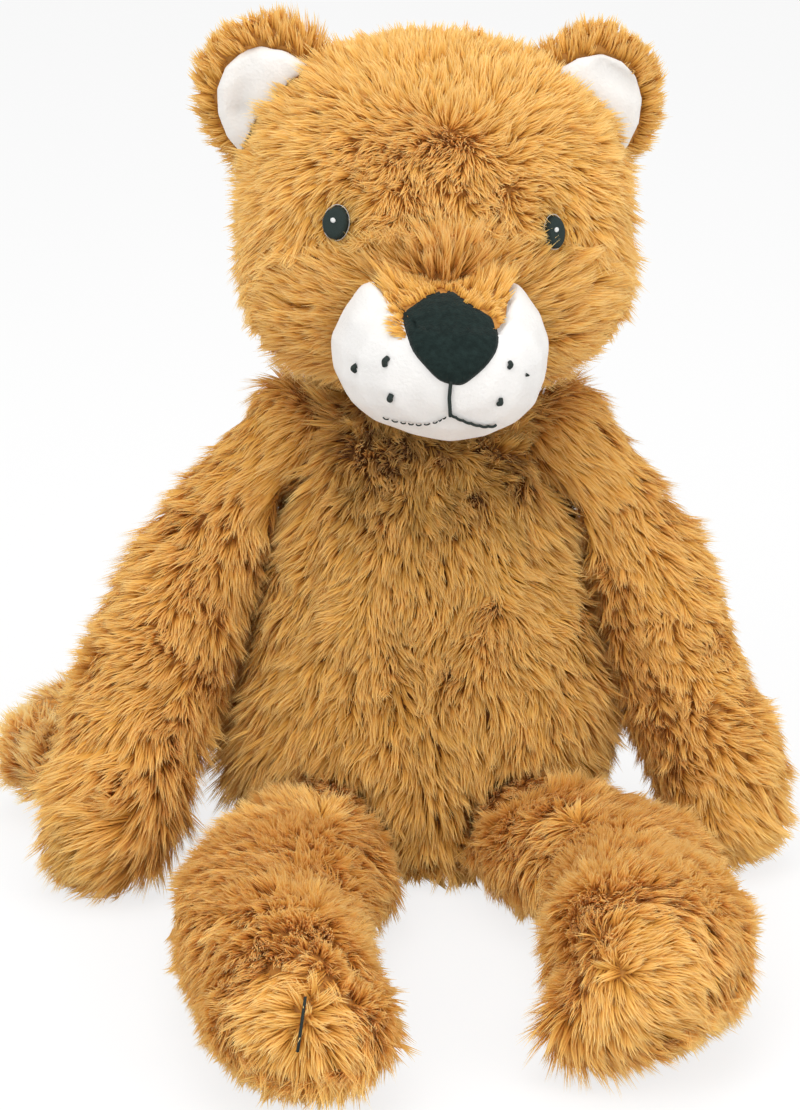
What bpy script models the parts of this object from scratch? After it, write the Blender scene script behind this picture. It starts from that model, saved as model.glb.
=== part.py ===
"""Seated plush lion in long pile, with a sewn head, ears, arms, legs and tail.

Metres, +Z up. The lion faces -Y and sits on its flat seat, whose middle is the origin.
Its own left side is at +X. Each soft form is a skin of sewn panels round its stuffing.
"""
import bpy
import bmesh
from math import acos, atan2, cos, pi, radians, sin, sqrt
from mathutils import Matrix, Vector
from mathutils.bvhtree import BVHTree

# Cloth and seams
seam_gap = 0.0003
skin_wall = 0.006
filling_gap = 0.0007
muzzle_skin_wall = 0.0035
overrun = 0.002
block_half = 0.4
flat_cut = 0.0005
swing_margin = 0.0006
weld_distance = 0.00001

# Torso: height, width, depth and forward shift of each level, from the seat to the neck
torso_height = 0.182
torso_half_width = 0.067
torso_half_depth = 0.054
torso_seam_y = 0.002
torso_squareness = 2.2
torso_shares = (
    (0.000, 0.62, 0.66, 0.00),
    (0.030, 0.80, 0.82, 0.00),
    (0.100, 0.93, 0.94, 0.01),
    (0.220, 1.00, 1.00, 0.02),
    (0.350, 1.00, 1.00, 0.03),
    (0.480, 0.94, 0.95, 0.03),
    (0.620, 0.85, 0.86, 0.00),
    (0.750, 0.76, 0.77, -0.03),
    (0.840, 0.67, 0.69, -0.06),
    (0.910, 0.52, 0.58, -0.07),
    (1.000, 0.25, 0.34, -0.07),
)
pellet_bag_height = 0.018

# Neck
neck_pivot_y = 0.004
neck_pivot_z = 0.158
neck_skin_radius = 0.034
neck_fill_radius = 0.0275
neck_pad_radius = 0.038
neck_seam_height = 0.018

# Head, in its own frame before it is turned and tilted
head_turn = radians(5.0)
head_tilt = radians(2.0)
head_bottom_z = 0.169
head_height = 0.1235
head_half_width = 0.0675
head_half_depth = 0.058
head_back_shift = 0.006
gusset_half_width = 0.019
head_squareness = 2.35
head_shares = (
    (0.000, 0.30, 0.30, 0.00),
    (0.060, 0.68, 0.66, 0.00),
    (0.150, 0.91, 0.86, 0.00),
    (0.280, 1.01, 0.97, 0.00),
    (0.430, 1.00, 1.00, 0.00),
    (0.580, 0.985, 1.00, -0.02),
    (0.720, 0.93, 0.94, -0.04),
    (0.840, 0.80, 0.81, -0.06),
    (0.930, 0.62, 0.63, -0.07),
    (1.000, 0.36, 0.38, -0.07),
)

# Muzzle
muzzle_half_width = 0.0345
muzzle_half_height = 0.0265
muzzle_half_length = 0.040
muzzle_middle_y = -0.060
muzzle_middle_z = 0.195
muzzle_squareness = 2.2
muzzle_end_power = 2.4
mouth_z = 0.1790
bridge_top_half_width = 0.0250
bridge_nose_half_width = 0.0140
bridge_bottom_z = 0.2100

# Nose, eyes and stitching
nose_half_width = 0.0147
nose_height = 0.0258
nose_middle_z = 0.2065
nose_thickness = 0.0025
nose_shares = (
    (0.00, 0.47), (0.45, 0.49), (0.80, 0.44), (0.98, 0.28), (1.00, 0.10),
    (0.88, -0.10), (0.62, -0.28), (0.34, -0.42), (0.12, -0.49),
)
eye_half_width = 0.0045
eye_half_height = 0.0065
eye_out = 0.0365
eye_z = 0.2365
eye_thickness = 0.0014
highlight_radius = 0.0013
highlight_thickness = 0.0008
highlight_shares = (-0.25, 0.20)
thread_radius = 0.0007
thread_lift = 0.0005
whisker_half_length = 0.0015
whisker_out = 0.0270
whisker_top_z = 0.2020
whisker_drop = 0.0140
whisker_shares = ((1.00, 0.10), (0.63, 0.02), (0.60, 1.00))
mouth_half_width = 0.0190
mouth_dip = 0.0030
mouth_corner_share = 0.85

# Ears
ear_half_width = 0.0235
ear_half_height = 0.0265
ear_half_thickness = 0.0065
ear_out = 0.0560
ear_back = 0.0040
ear_z = 0.2700
ear_lean = radians(32.0)
ear_face_out = radians(12.0)
ear_squareness = 2.3
ear_edge_power = 0.6
ear_rim = 0.0060
ear_dish_depth = 0.0050
ear_dish_drop = 0.0030
ear_lining_thickness = 0.0022
ear_fold_forward = radians(10.0)
ear_fold_back = radians(10.0)
ear_root_share = 0.62

# Arms, from the shoulder: out, forward and down along each arm
shoulder_out = 0.046
shoulder_back = 0.002
shoulder_z = 0.146
left_arm_out = 0.0590
right_arm_out = 0.0645
left_arm_forward = 0.0300
right_arm_forward = 0.0510
arm_radius = 0.0245
arm_path_shares = (
    (0.00, 0.00, 0.00),
    (0.29, 0.10, 0.18),
    (0.55, 0.26, 0.40),
    (0.73, 0.46, 0.62),
    (0.90, 0.74, 0.83),
    (1.00, 1.00, 1.00),
)
arm_radius_shares = (0.82, 0.84, 0.91, 1.00, 1.07, 1.05, 0.95, 0.99)
arm_lift_limit = radians(50.0)
arm_lift_axis_shares = (0.79, 0.55, 0.26)

# Legs, from the hip: out and forward along each leg
hip_out = 0.035
hip_front = 0.044
hip_z = 0.0215
left_leg_length = 0.1450
right_leg_length = 0.1650
left_leg_bow = 0.0225
right_leg_bow = 0.0150
left_leg_radius = 0.0332
right_leg_radius = 0.0306
# out, forward and the half height that the leg lies on
leg_path_shares = (
    (0.00, 0.00, 0.66),
    (0.55, 0.20, 0.71),
    (0.97, 0.40, 0.76),
    (0.95, 0.62, 0.81),
    (0.50, 0.84, 0.92),
    (0.00, 1.00, 1.00),
)
leg_radius_shares = (0.62, 0.82, 1.00, 1.06, 1.06, 1.03, 0.96, 1.00, 0.98)
leg_height_shares = (0.62, 0.67, 0.71, 0.75, 0.79, 0.83, 0.92, 0.98, 0.98)
left_leg_turn = radians(11.0)
right_leg_turn = radians(1.0)
leg_lift_limit = radians(35.0)
leg_drop_limit = radians(30.0)

# Tail, from its root: sideways and back along the tail
tail_root_back = 0.053
tail_root_z = 0.0235
tail_radius = 0.0105
tail_side = 0.134
tail_back = 0.018
tail_path_shares = (
    (0.00, 0.00),
    (0.20, 0.62),
    (0.48, 0.70),
    (0.74, 0.00),
    (0.92, -1.15),
    (1.00, -1.90),
)
tail_radius_shares = (1.0, 1.0, 1.0, 1.0, 1.0, 1.0)
tail_swing_limit = radians(100.0)
tuft_radius = 0.0235
tuft_start_share = 0.62
tuft_radius_shares = (0.55, 0.85, 1.00, 0.98, 0.72)

# Toe stitches on the ends of the limbs, as turns about the middle of the paw
toe_low = radians(-8.0)
toe_high = radians(34.0)
foot_toe_spread = radians(27.0)
hand_toe_spread = radians(24.0)

# Facets
torso_sides = 20
torso_rings = 12
head_rings = 12
limb_sides = 14
limb_rings = 12
muzzle_sides = 18
muzzle_rings = 10
ball_sides = 16
neck_sides = 28
small_sides = 14
ear_sides = 14
ear_rings = 8
tail_sides = 10
tail_rings = 12
path_steps = 64
thread_steps = 5
swing_step = radians(10.0)
crumb_verts = 8

fur_colour = (0.50, 0.26, 0.075, 1.0)
tuft_colour = (0.47, 0.20, 0.05, 1.0)
white_colour = (0.86, 0.83, 0.79, 1.0)
dark_colour = (0.016, 0.021, 0.019, 1.0)
fill_colour = (0.80, 0.79, 0.76, 1.0)
pellet_colour = (0.62, 0.63, 0.64, 1.0)

origin = Vector((0.0, 0.0, 0.0))
across = Vector((1.0, 0.0, 0.0))
forward = Vector((0.0, -1.0, 0.0))
upward = Vector((0.0, 0.0, 1.0))
neck_pivot = upward * neck_pivot_z - forward * neck_pivot_y


def clear_scene():
    for item in list(bpy.data.objects):
        bpy.data.objects.remove(item, do_unlink=True)


def new_collection(name):
    group = bpy.data.collections.new(name)
    bpy.context.scene.collection.children.link(group)
    return group


def new_material(name, colour, roughness):
    material = bpy.data.materials.new(name)
    material.use_nodes = True
    shader = material.node_tree.nodes["Principled BSDF"]
    shader.inputs["Base Color"].default_value = colour
    shader.inputs["Roughness"].default_value = roughness
    shader.inputs["Metallic"].default_value = 0.0
    return material


def mesh_object(name, mesh, group):
    item = bpy.data.objects.new(name, mesh)
    group.objects.link(item)
    if group is cutters:
        item.hide_render = True
        item.display_type = 'WIRE'
    return item


def object_from(name, bm, group):
    mesh = bpy.data.meshes.new(name)
    bm.to_mesh(mesh)
    bm.free()
    mesh.shade_smooth()
    mesh.set_sharp_from_angle(angle=radians(40.0))
    return mesh_object(name, mesh, group)


def signed_power(value, power):
    return abs(value) ** power * (1.0 if value >= 0.0 else -1.0)


def swollen(name, ring_at, sides, rings):
    """A UV sphere whose rings move to ring_at(share): middle, two half axes and squareness."""
    bm = bmesh.new()
    bmesh.ops.create_uvsphere(bm, u_segments=sides, v_segments=rings, radius=1.0)
    for vert in bm.verts:
        share = acos(max(-1.0, min(1.0, vert.co.z))) / pi
        angle = atan2(vert.co.y, vert.co.x)
        middle, half_a, half_b, squareness = ring_at(share)
        c = signed_power(cos(angle), 2.0 / squareness)
        s = signed_power(sin(angle), 2.0 / squareness)
        vert.co = middle + half_a * c + half_b * s
    if bm.calc_volume(signed=True) < 0.0:
        bmesh.ops.reverse_faces(bm, faces=bm.faces)
    return object_from(name, bm, cutters)


def curve_value(rows, share):
    """A smooth curve through rows of numbers, read at a share of their count."""
    place = max(0.0, min(1.0, share)) * (len(rows) - 1)
    index = min(int(place), len(rows) - 2)
    t = place - index
    before = rows[max(index - 1, 0)]
    after = rows[min(index + 2, len(rows) - 1)]
    values = []
    for a, b, c, d in zip(before, rows[index], rows[index + 1], after):
        slope_in = (c - a) / 2.0
        slope_out = (d - b) / 2.0
        value = (2.0 * t ** 3 - 3.0 * t ** 2 + 1.0) * b + (t ** 3 - 2.0 * t ** 2 + t) * slope_in
        value += (3.0 * t ** 2 - 2.0 * t ** 3) * c + (t ** 3 - t ** 2) * slope_out
        values.append(value)
    return values


def table_value(table, level):
    """The row of a table of levels at one level."""
    levels = [row[0] for row in table]
    index = 0
    while index < len(levels) - 2 and level > levels[index + 1]:
        index += 1
    t = (level - levels[index]) / (levels[index + 1] - levels[index])
    return curve_value([row[1:] for row in table], (index + t) / (len(table) - 1))


def upright_form(name, table, bottom, height, half_width, half_depth, squareness, inset, sides, rings, seated):
    """A swelling form of level rings, drawn in on every side by the inset."""
    def ring_at(share):
        level = (1.0 - cos(pi * share)) / 2.0
        end = sqrt(max(0.0, 1.0 - (2.0 * level - 1.0) ** 10))
        if seated:
            level = (1.0 - cos(pi * max(0.0, share * rings - 1.0) / (rings - 1))) / 2.0
            end = 0.0 if share == 0.0 else sqrt(1.0 - max(0.0, 2.0 * level - 1.0) ** 10)
        width, depth, lean = table_value(table, level)
        middle = upward * (bottom + inset + (height - 2.0 * inset) * level) + forward * half_depth * lean
        half_a = across * max(0.0, half_width * width - inset) * end
        half_b = forward * max(0.0, half_depth * depth - inset) * end
        return middle, half_a, half_b, squareness

    return swollen(name, ring_at, sides, rings)


def walk(points):
    """A function from a share of the length of a smooth curve to the place on it."""
    rows = [tuple(point) for point in points]
    spots = [Vector(curve_value(rows, step / path_steps)) for step in range(path_steps + 1)]
    lengths = [0.0]
    for start, end in zip(spots, spots[1:]):
        lengths.append(lengths[-1] + (end - start).length)
    total = lengths[-1]

    def place(share):
        wanted = share * total
        index = 0
        while index < path_steps - 1 and wanted > lengths[index + 1]:
            index += 1
        t = (wanted - lengths[index]) / (lengths[index + 1] - lengths[index])
        return spots[index].lerp(spots[index + 1], t)

    return place, total


def path_form(name, points, radii, heights, inset, root_end, tip_end, reference, sides, rings):
    """An oval form along a path, drawn in by the inset, with round ends."""
    place, length = walk(points)

    def ring_at(share):
        along = (1.0 - cos(pi * share)) / 2.0
        here = root_end / length + (1.0 - (root_end + tip_end) / length) * along
        reach = 1.0 / path_steps
        heading = (place(here + reach) - place(here - reach)).normalized()
        radius, height = curve_value(list(zip(radii, heights)), here)
        root_cap = radii[0] / length
        tip_cap = radii[-1] / length
        round_end = 1.0
        if along < root_cap:
            round_end = sqrt(max(0.0, 1.0 - (1.0 - along / root_cap) ** 2))
        if along > 1.0 - tip_cap:
            round_end = sqrt(max(0.0, 1.0 - (1.0 - (1.0 - along) / tip_cap) ** 2))
        side = heading.cross(reference).normalized()
        half_a = side * (radius - inset) * round_end
        half_b = side.cross(heading) * (height - inset) * round_end
        return place(here), half_a, half_b, 2.0

    return swollen(name, ring_at, sides, rings)


def ball(name, middle, radius, sides=ball_sides):
    bm = bmesh.new()
    bmesh.ops.create_uvsphere(bm, u_segments=sides, v_segments=sides // 2, radius=radius)
    bmesh.ops.translate(bm, verts=bm.verts, vec=middle)
    return object_from(name, bm, cutters)


def socket(name, middle, radius, sides=ball_sides):
    """A ball that a ball of the given radius turns freely in, wider because facets lie inside it."""
    return ball(name, middle, (radius + seam_gap) / cos(pi / sides) ** 2, sides)


def half_space(name, point, normal):
    """A big block that fills the side of a plane that the normal points to."""
    bm = bmesh.new()
    bmesh.ops.create_cube(bm, size=2.0 * block_half)
    bmesh.ops.translate(bm, verts=bm.verts, vec=upward * block_half)
    turn = upward.rotation_difference(normal.normalized()).to_matrix().to_4x4()
    bmesh.ops.transform(bm, matrix=Matrix.Translation(point) @ turn, verts=bm.verts)
    return object_from(name, bm, cutters)


def baked(name, item, group):
    """A new object with another's evaluated mesh, in world space."""
    bpy.context.view_layer.update()
    mesh = bpy.data.meshes.new_from_object(item.evaluated_get(bpy.context.evaluated_depsgraph_get()))
    mesh.transform(item.matrix_world)
    mesh.name = name
    return mesh_object(name, mesh, group)


def shaped(name, item, steps, group):
    """A copy of a form after a row of Boolean steps, each an operation and its other form."""
    rough = baked(name + "_rough", item, cutters)
    for operation, other in steps:
        modifier = rough.modifiers.new(operation, 'BOOLEAN')
        modifier.operation = operation
        modifier.solver = 'EXACT'
        modifier.object = other
        before = rough
        rough = baked(name + "_rough", before, cutters)
        bpy.data.objects.remove(before, do_unlink=True)
    result = baked(name, rough, group)
    bpy.data.objects.remove(rough, do_unlink=True)
    return result


def cut(*others):
    return [('DIFFERENCE', other) for other in others]


def join(*others):
    return [('UNION', other) for other in others]


def keep(*others):
    return [('INTERSECT', other) for other in others]


def swung(item, pivot, axis, low, high):
    """Copies of a form turned back through a joint's range, to clear what moves on it."""
    steps = max(1, round((high - low) / swing_step))
    copies = []
    for step in range(steps + 1):
        angle = low + (high - low) * step / steps
        copy = baked(item.name + "_swung", item, cutters)
        turn = Matrix.Rotation(-angle, 4, axis)
        copy.data.transform(Matrix.Translation(pivot) @ turn @ Matrix.Translation(-pivot))
        copies.append(copy)
    return copies


def drop_crumbs(item):
    """Removes the specks of a few faces that a Boolean can leave where surfaces graze."""
    bm = bmesh.new()
    bm.from_mesh(item.data)
    left = set(bm.verts)
    crumbs = []
    while left:
        found = [left.pop()]
        for vert in found:
            near = {edge.other_vert(vert) for edge in vert.link_edges} & left
            left -= near
            found.extend(near)
        if len(found) <= crumb_verts:
            crumbs.extend(found)
    bmesh.ops.delete(bm, geom=crumbs, context='VERTS')
    bm.to_mesh(item.data)
    bm.free()


def piece(item, material):
    drop_crumbs(item)
    item.data.materials.clear()
    item.data.materials.append(material)
    item.data.shade_smooth()
    item.data.set_sharp_from_angle(angle=radians(40.0))
    return item


def sewn_pair(names, outer, inner, point, normal, material):
    """Two panels of one skin, parted at a seam plane, the first on the normal's side."""
    result = []
    for name, facing in zip(names, (normal, -normal)):
        beyond = half_space(name + "_beyond", point + facing * seam_gap / 2.0, -facing)
        result.append(piece(shaped(name, outer, cut(beyond, inner), lion), material))
    return result


def prism(name, outline, back_y, front_y):
    """A flat outline in X and Z, given depth along Y."""
    curve = bpy.data.curves.new(name, 'CURVE')
    curve.dimensions = '2D'
    curve.fill_mode = 'BOTH'
    curve.extrude = abs(front_y - back_y) / 2.0
    spline = curve.splines.new('POLY')
    spline.points.add(len(outline) - 1)
    for point, (x, z) in zip(spline.points, outline):
        point.co = (x, z, 0.0, 1.0)
    spline.use_cyclic_u = True
    flat = bpy.data.objects.new(name + "_flat", curve)
    cutters.objects.link(flat)
    flat.location = -forward * (front_y + back_y) / 2.0
    flat.rotation_euler = (pi / 2.0, 0.0, 0.0)
    return welded(name, flat, cutters)


def welded(name, curve_item, group):
    """The closed mesh of a curve object, which is then removed."""
    item = baked(name, curve_item, group)
    bm = bmesh.new()
    bm.from_mesh(item.data)
    bmesh.ops.remove_doubles(bm, verts=bm.verts, dist=weld_distance)
    bmesh.ops.recalc_face_normals(bm, faces=bm.faces)
    bm.to_mesh(item.data)
    bm.free()
    bpy.data.objects.remove(curve_item, do_unlink=True)
    return item


def thread(name, run, group):
    """One round thread along a list of points."""
    curve = bpy.data.curves.new(name, 'CURVE')
    curve.dimensions = '3D'
    curve.bevel_depth = thread_radius
    curve.bevel_resolution = 1
    curve.use_fill_caps = True
    spline = curve.splines.new('POLY')
    spline.points.add(len(run) - 1)
    for point, place in zip(spline.points, run):
        point.co = (place.x, place.y, place.z, 1.0)
    item = bpy.data.objects.new(name + "_curve", curve)
    cutters.objects.link(item)
    return piece(welded(name, item, group), dark_thread)


def surface_reader(item):
    """A function that shoots at a form and gives the middle of a thread on its surface."""
    bm = bmesh.new()
    bm.from_mesh(item.data)
    tree = BVHTree.FromBMesh(bm)
    bm.free()

    def read(start, heading):
        spot, normal, _, _ = tree.ray_cast(start, heading.normalized())
        return spot + normal * (thread_radius + thread_lift)

    return read


def hold(name, place, pieces, parent=None, turn=None):
    """An empty on a joint's axis that carries pieces."""
    empty = bpy.data.objects.new(name, None)
    lion.objects.link(empty)
    empty.parent = parent
    empty.matrix_world = Matrix.Translation(place)
    bpy.context.view_layer.update()
    for item in pieces:
        item.parent = empty
        item.matrix_parent_inverse = empty.matrix_world.inverted()
    if turn is not None:
        empty.matrix_world = Matrix.Translation(place) @ turn
        bpy.context.view_layer.update()
    return empty


clear_scene()
lion = new_collection("plush_lion")
cutters = new_collection("cutters")
fur = new_material("golden_fur", fur_colour, 0.95)
tuft_fur = new_material("tuft_fur", tuft_colour, 0.95)
white_plush = new_material("white_plush", white_colour, 0.95)
dark_thread = new_material("dark_thread", dark_colour, 0.80)
fibre_fill = new_material("fibre_fill", fill_colour, 0.95)
pellet_cloth = new_material("pellet_cloth", pellet_colour, 0.85)
floor = half_space("floor", origin, -upward)


# Torso

def torso_form(name, inset, neck_radius):
    body = upright_form(name + "_body", torso_shares, -flat_cut, torso_height, torso_half_width,
                        torso_half_depth, torso_squareness, inset, torso_sides, torso_rings, True)
    return shaped(name, body, join(ball(name + "_neck", neck_pivot, neck_radius)), cutters)


limb_sides_of_body = {"left": 1.0, "right": -1.0}
arm_out = {"left": left_arm_out, "right": right_arm_out}
arm_forward = {"left": left_arm_forward, "right": right_arm_forward}
leg_length = {"left": left_leg_length, "right": right_leg_length}
leg_bow = {"left": left_leg_bow, "right": right_leg_bow}
leg_radius = {"left": left_leg_radius, "right": right_leg_radius}
leg_turn = {"left": left_leg_turn, "right": right_leg_turn}
shoulders = {}
hips = {}
for side, sign in limb_sides_of_body.items():
    shoulders[side] = across * shoulder_out * sign - forward * shoulder_back + upward * shoulder_z
    hips[side] = across * hip_out * sign + forward * hip_front + upward * hip_z
tail_root = -forward * tail_root_back + upward * tail_root_z
shoulder_radius = arm_radius * arm_radius_shares[0]
hip_radius = {side: leg_radius[side] * leg_radius_shares[0] for side in limb_sides_of_body}

sockets = [socket("tail_socket", tail_root, tail_radius)]
for side in limb_sides_of_body:
    sockets.append(socket(side + "_shoulder_socket", shoulders[side], shoulder_radius))
    sockets.append(socket(side + "_hip_socket", hips[side], hip_radius[side]))


def make_torso():
    outer = shaped("torso_outer", torso_form("torso_skin", 0.0, neck_skin_radius), cut(floor), cutters)
    inner = torso_form("torso_hollow", skin_wall, neck_skin_radius - skin_wall)
    neck_seam = neck_pivot + upward * neck_seam_height
    above_seam = half_space("above_neck_seam", neck_seam, upward)
    open_outer = shaped("torso_open", outer, cut(above_seam, *sockets), cutters)
    sewn_pair(("torso_front", "torso_back"), open_outer, inner, -forward * torso_seam_y, forward, fur)
    filling = torso_form("torso_filling", skin_wall + seam_gap, neck_fill_radius)
    bag_top = upward * (skin_wall + pellet_bag_height)
    below_bag = half_space("below_bag_top", bag_top, -upward)
    above_bag = half_space("above_bag_top", bag_top - upward * seam_gap, upward)
    piece(shaped("torso_stuffing", filling, cut(below_bag, *sockets), lion), fibre_fill)
    piece(shaped("pellet_bag", filling, cut(above_bag, *sockets), lion), pellet_cloth)


def make_neck():
    pad = ball("neck_ball", neck_pivot, neck_pad_radius, neck_sides)
    below = half_space("below_neck_seam", neck_pivot + upward * (neck_seam_height + seam_gap), -upward)
    core = socket("neck_core", neck_pivot, neck_fill_radius)
    neck = piece(shaped("neck_stuffing", pad, cut(below, core), lion), fibre_fill)
    return hold("neck_turn", neck_pivot, [neck])


# Arms and legs

def end_point(points, radius):
    return points[-1] + (points[-1] - points[-2]).normalized() * radius


def start_point(points, radius):
    return points[0] - (points[1] - points[0]).normalized() * radius


def with_ends(points, first_radius, last_radius):
    return [start_point(points, first_radius)] + points + [end_point(points, last_radius)]


def make_limb(name, points, radii, heights, reference, blockers, seam_normal, panel_names, toes):
    """The two skin panels, the stuffing and the toe stitches of an arm or a leg."""
    path = with_ends(points, radii[0], radii[-1])
    root_ball = ball(name + "_ball", points[0], radii[0])
    form = path_form(name + "_form", path, radii, heights, 0.0, overrun, 0.0, reference, limb_sides, limb_rings)
    outer = shaped(name + "_outer", form, cut(floor, *blockers) + join(root_ball), cutters)
    hollow = path_form(name + "_hollow", path, radii, heights, skin_wall, -overrun, skin_wall, reference,
                       limb_sides, limb_rings)
    inset = skin_wall + filling_gap
    filling = path_form(name + "_filling", path, radii, heights, inset, -overrun, inset, reference,
                        limb_sides, limb_rings)
    names = [name + "_" + word for word in panel_names]
    parts = sewn_pair(names, outer, hollow, points[0], seam_normal, fur)
    parts.append(piece(shaped(name + "_stuffing", filling, keep(outer), lion), fibre_fill))
    read = surface_reader(outer)
    for index, turn in enumerate(toes):
        run = []
        for step in range(thread_steps + 1):
            rise = toe_low + (toe_high - toe_low) * step / thread_steps
            heading = Matrix.Rotation(turn, 3, upward) @ (forward * cos(rise) + upward * sin(rise))
            run.append(read(points[-1] + heading * 2.0 * radii[-1], -heading))
        parts.append(thread(name + "_toe_stitch_" + str(index + 1), run, lion))
    return parts


def make_arm(side, body):
    sign = limb_sides_of_body[side]
    root = shoulders[side]
    drop = shoulder_z + flat_cut - arm_radius * arm_radius_shares[-1]
    points = []
    for out, ahead, down in arm_path_shares:
        step = across * arm_out[side] * out * sign + forward * arm_forward[side] * ahead
        points.append(root + step - upward * drop * down)
    x, y, z = arm_lift_axis_shares
    axis = Vector((-x, -y * sign, -z * sign)).normalized()
    blockers = swung(body, root, axis, 0.0, arm_lift_limit)
    radii = [arm_radius * share for share in arm_radius_shares]
    reach = points[-1] - points[0]
    seam_normal = -reach.cross(reach.cross(forward)).normalized()
    toes = (-hand_toe_spread / 2.0, hand_toe_spread / 2.0)
    parts = make_limb(side + "_arm", points, radii, radii, forward, blockers, seam_normal, ("front", "back"), toes)
    return hold(side + "_shoulder", root, parts)


def make_leg(side, body):
    sign = limb_sides_of_body[side]
    root = hips[side]
    turn = Matrix.Rotation(leg_turn[side] * sign, 3, upward)
    points = []
    for out, ahead, half_height in leg_path_shares:
        rise = upward * (leg_radius[side] * half_height - flat_cut - hip_z)
        step = across * leg_bow[side] * out * sign + forward * leg_length[side] * ahead + rise
        points.append(root + turn @ step)
    points[0] = root
    blockers = swung(body, root, -across, -leg_drop_limit, leg_lift_limit)
    radii = [leg_radius[side] * share for share in leg_radius_shares]
    heights = [leg_radius[side] * share for share in leg_height_shares]
    toes = (-foot_toe_spread, 0.0, foot_toe_spread)
    parts = make_limb(side + "_leg", points, radii, heights, upward, blockers, upward, ("upper", "lower"), toes)
    return hold(side + "_hip", root, parts)


# Tail

def make_tail(body):
    points = []
    for aside, back in tail_path_shares:
        points.append(tail_root - across * tail_side * aside - forward * tail_back * back)
    sink = upward * (tuft_radius - flat_cut - tail_root_z)
    count = len(points) - 1
    points = [point + sink * min(1.0, 2.0 * index / count) for index, point in enumerate(points)]
    radii = [tail_radius * share for share in tail_radius_shares]
    path = with_ends(points, tail_radius, tail_radius)
    blockers = swung(body, tail_root, -upward, 0.0, tail_swing_limit)
    root_ball = ball("tail_ball", tail_root, tail_radius)
    place, length = walk(path)
    count = len(tuft_radius_shares) + 2
    tuft_path = [place(tuft_start_share + (1.0 - tuft_start_share) * step / count) for step in range(count + 1)]
    tuft_radii = [tuft_radius * share for share in tuft_radius_shares]
    form = path_form("tail_form", path, radii, radii, 0.0, overrun, 0.0, upward, tail_sides, tail_rings)
    tube = shaped("tail_tube", form, cut(*blockers) + join(root_ball), cutters)
    hollow = path_form("tail_hollow", path, radii, radii, skin_wall / 2.0, -overrun, skin_wall / 2.0, upward,
                       tail_sides, tail_rings)
    inset = skin_wall / 2.0 + filling_gap
    filling = path_form("tail_filling", path, radii, radii, inset, -overrun, inset, upward, tail_sides, tail_rings)
    tuft = path_form("tuft_form", tuft_path, tuft_radii, tuft_radii, 0.0, 0.0, 0.0, upward, limb_sides, tail_rings)
    tube_room = path_form("tube_room", path, radii, radii, -seam_gap, -seam_gap, -seam_gap, upward,
                          tail_sides, tail_rings)
    skin = piece(shaped("tail_skin", tube, cut(hollow), lion), fur)
    core = piece(shaped("tail_stuffing", filling, keep(tube), lion), fibre_fill)
    brush = piece(shaped("tail_tuft", tuft, cut(floor, tube_room), lion), tuft_fur)
    return hold("tail_root", tail_root, [skin, core, brush])


# Head

def head_form(name, inset):
    body = upright_form(name, head_shares, head_bottom_z, head_height, head_half_width, head_half_depth,
                        head_squareness, inset, torso_sides, head_rings, False)
    body.data.transform(Matrix.Translation(forward * head_back_shift))
    return body


def muzzle_form(name, inset):
    def ring_at(share):
        along = (1.0 - cos(pi * share)) / 2.0
        end = sqrt(max(0.0, 1.0 - abs(2.0 * along - 1.0) ** muzzle_end_power))
        reach = muzzle_middle_y + (muzzle_half_length - inset) * (1.0 - 2.0 * along)
        middle = upward * muzzle_middle_z - forward * reach
        half_a = across * (muzzle_half_width - inset) * end
        half_b = upward * (muzzle_half_height - inset) * end
        return middle, half_a, half_b, muzzle_squareness

    return swollen(name, ring_at, muzzle_sides, muzzle_rings)


def patch(name, outline, form, back_y, gap, thickness, material):
    """A flat outline pressed on a form, as a pad of one thickness."""
    under = form(name + "_under", -gap)
    over = form(name + "_over", -gap - thickness)
    front = muzzle_middle_y - 2.0 * muzzle_half_length
    stamp = prism(name + "_stamp", outline, back_y, front)
    return piece(shaped(name, stamp, keep(over) + cut(under), lion), material)


def oval(middle_x, middle_z, half_width, half_height):
    steps = [2.0 * pi * step / small_sides for step in range(small_sides)]
    return [(middle_x + half_width * cos(a), middle_z + half_height * sin(a)) for a in steps]


def make_head():
    outer = head_form("head_outer", 0.0)
    hollow = head_form("head_hollow", skin_wall)
    filling = head_form("head_filling", skin_wall + seam_gap)
    neck_room = socket("neck_room", neck_pivot, neck_pad_radius, neck_sides)
    parts = []
    for name, low, high in (("head_gusset", -1.0, 1.0), ("head_left", 1.0, None), ("head_right", None, -1.0)):
        steps = cut(hollow, neck_room)
        if low is not None:
            edge = across * (gusset_half_width * low + seam_gap / 2.0)
            steps += cut(half_space(name + "_low", edge, -across))
        if high is not None:
            edge = across * (gusset_half_width * high - seam_gap / 2.0)
            steps += cut(half_space(name + "_high", edge, across))
        parts.append(piece(shaped(name, outer, steps, lion), fur))
    parts.append(piece(shaped("head_stuffing", filling, cut(neck_room), lion), fibre_fill))
    parts += make_muzzle()
    parts += make_features()
    return parts


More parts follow.
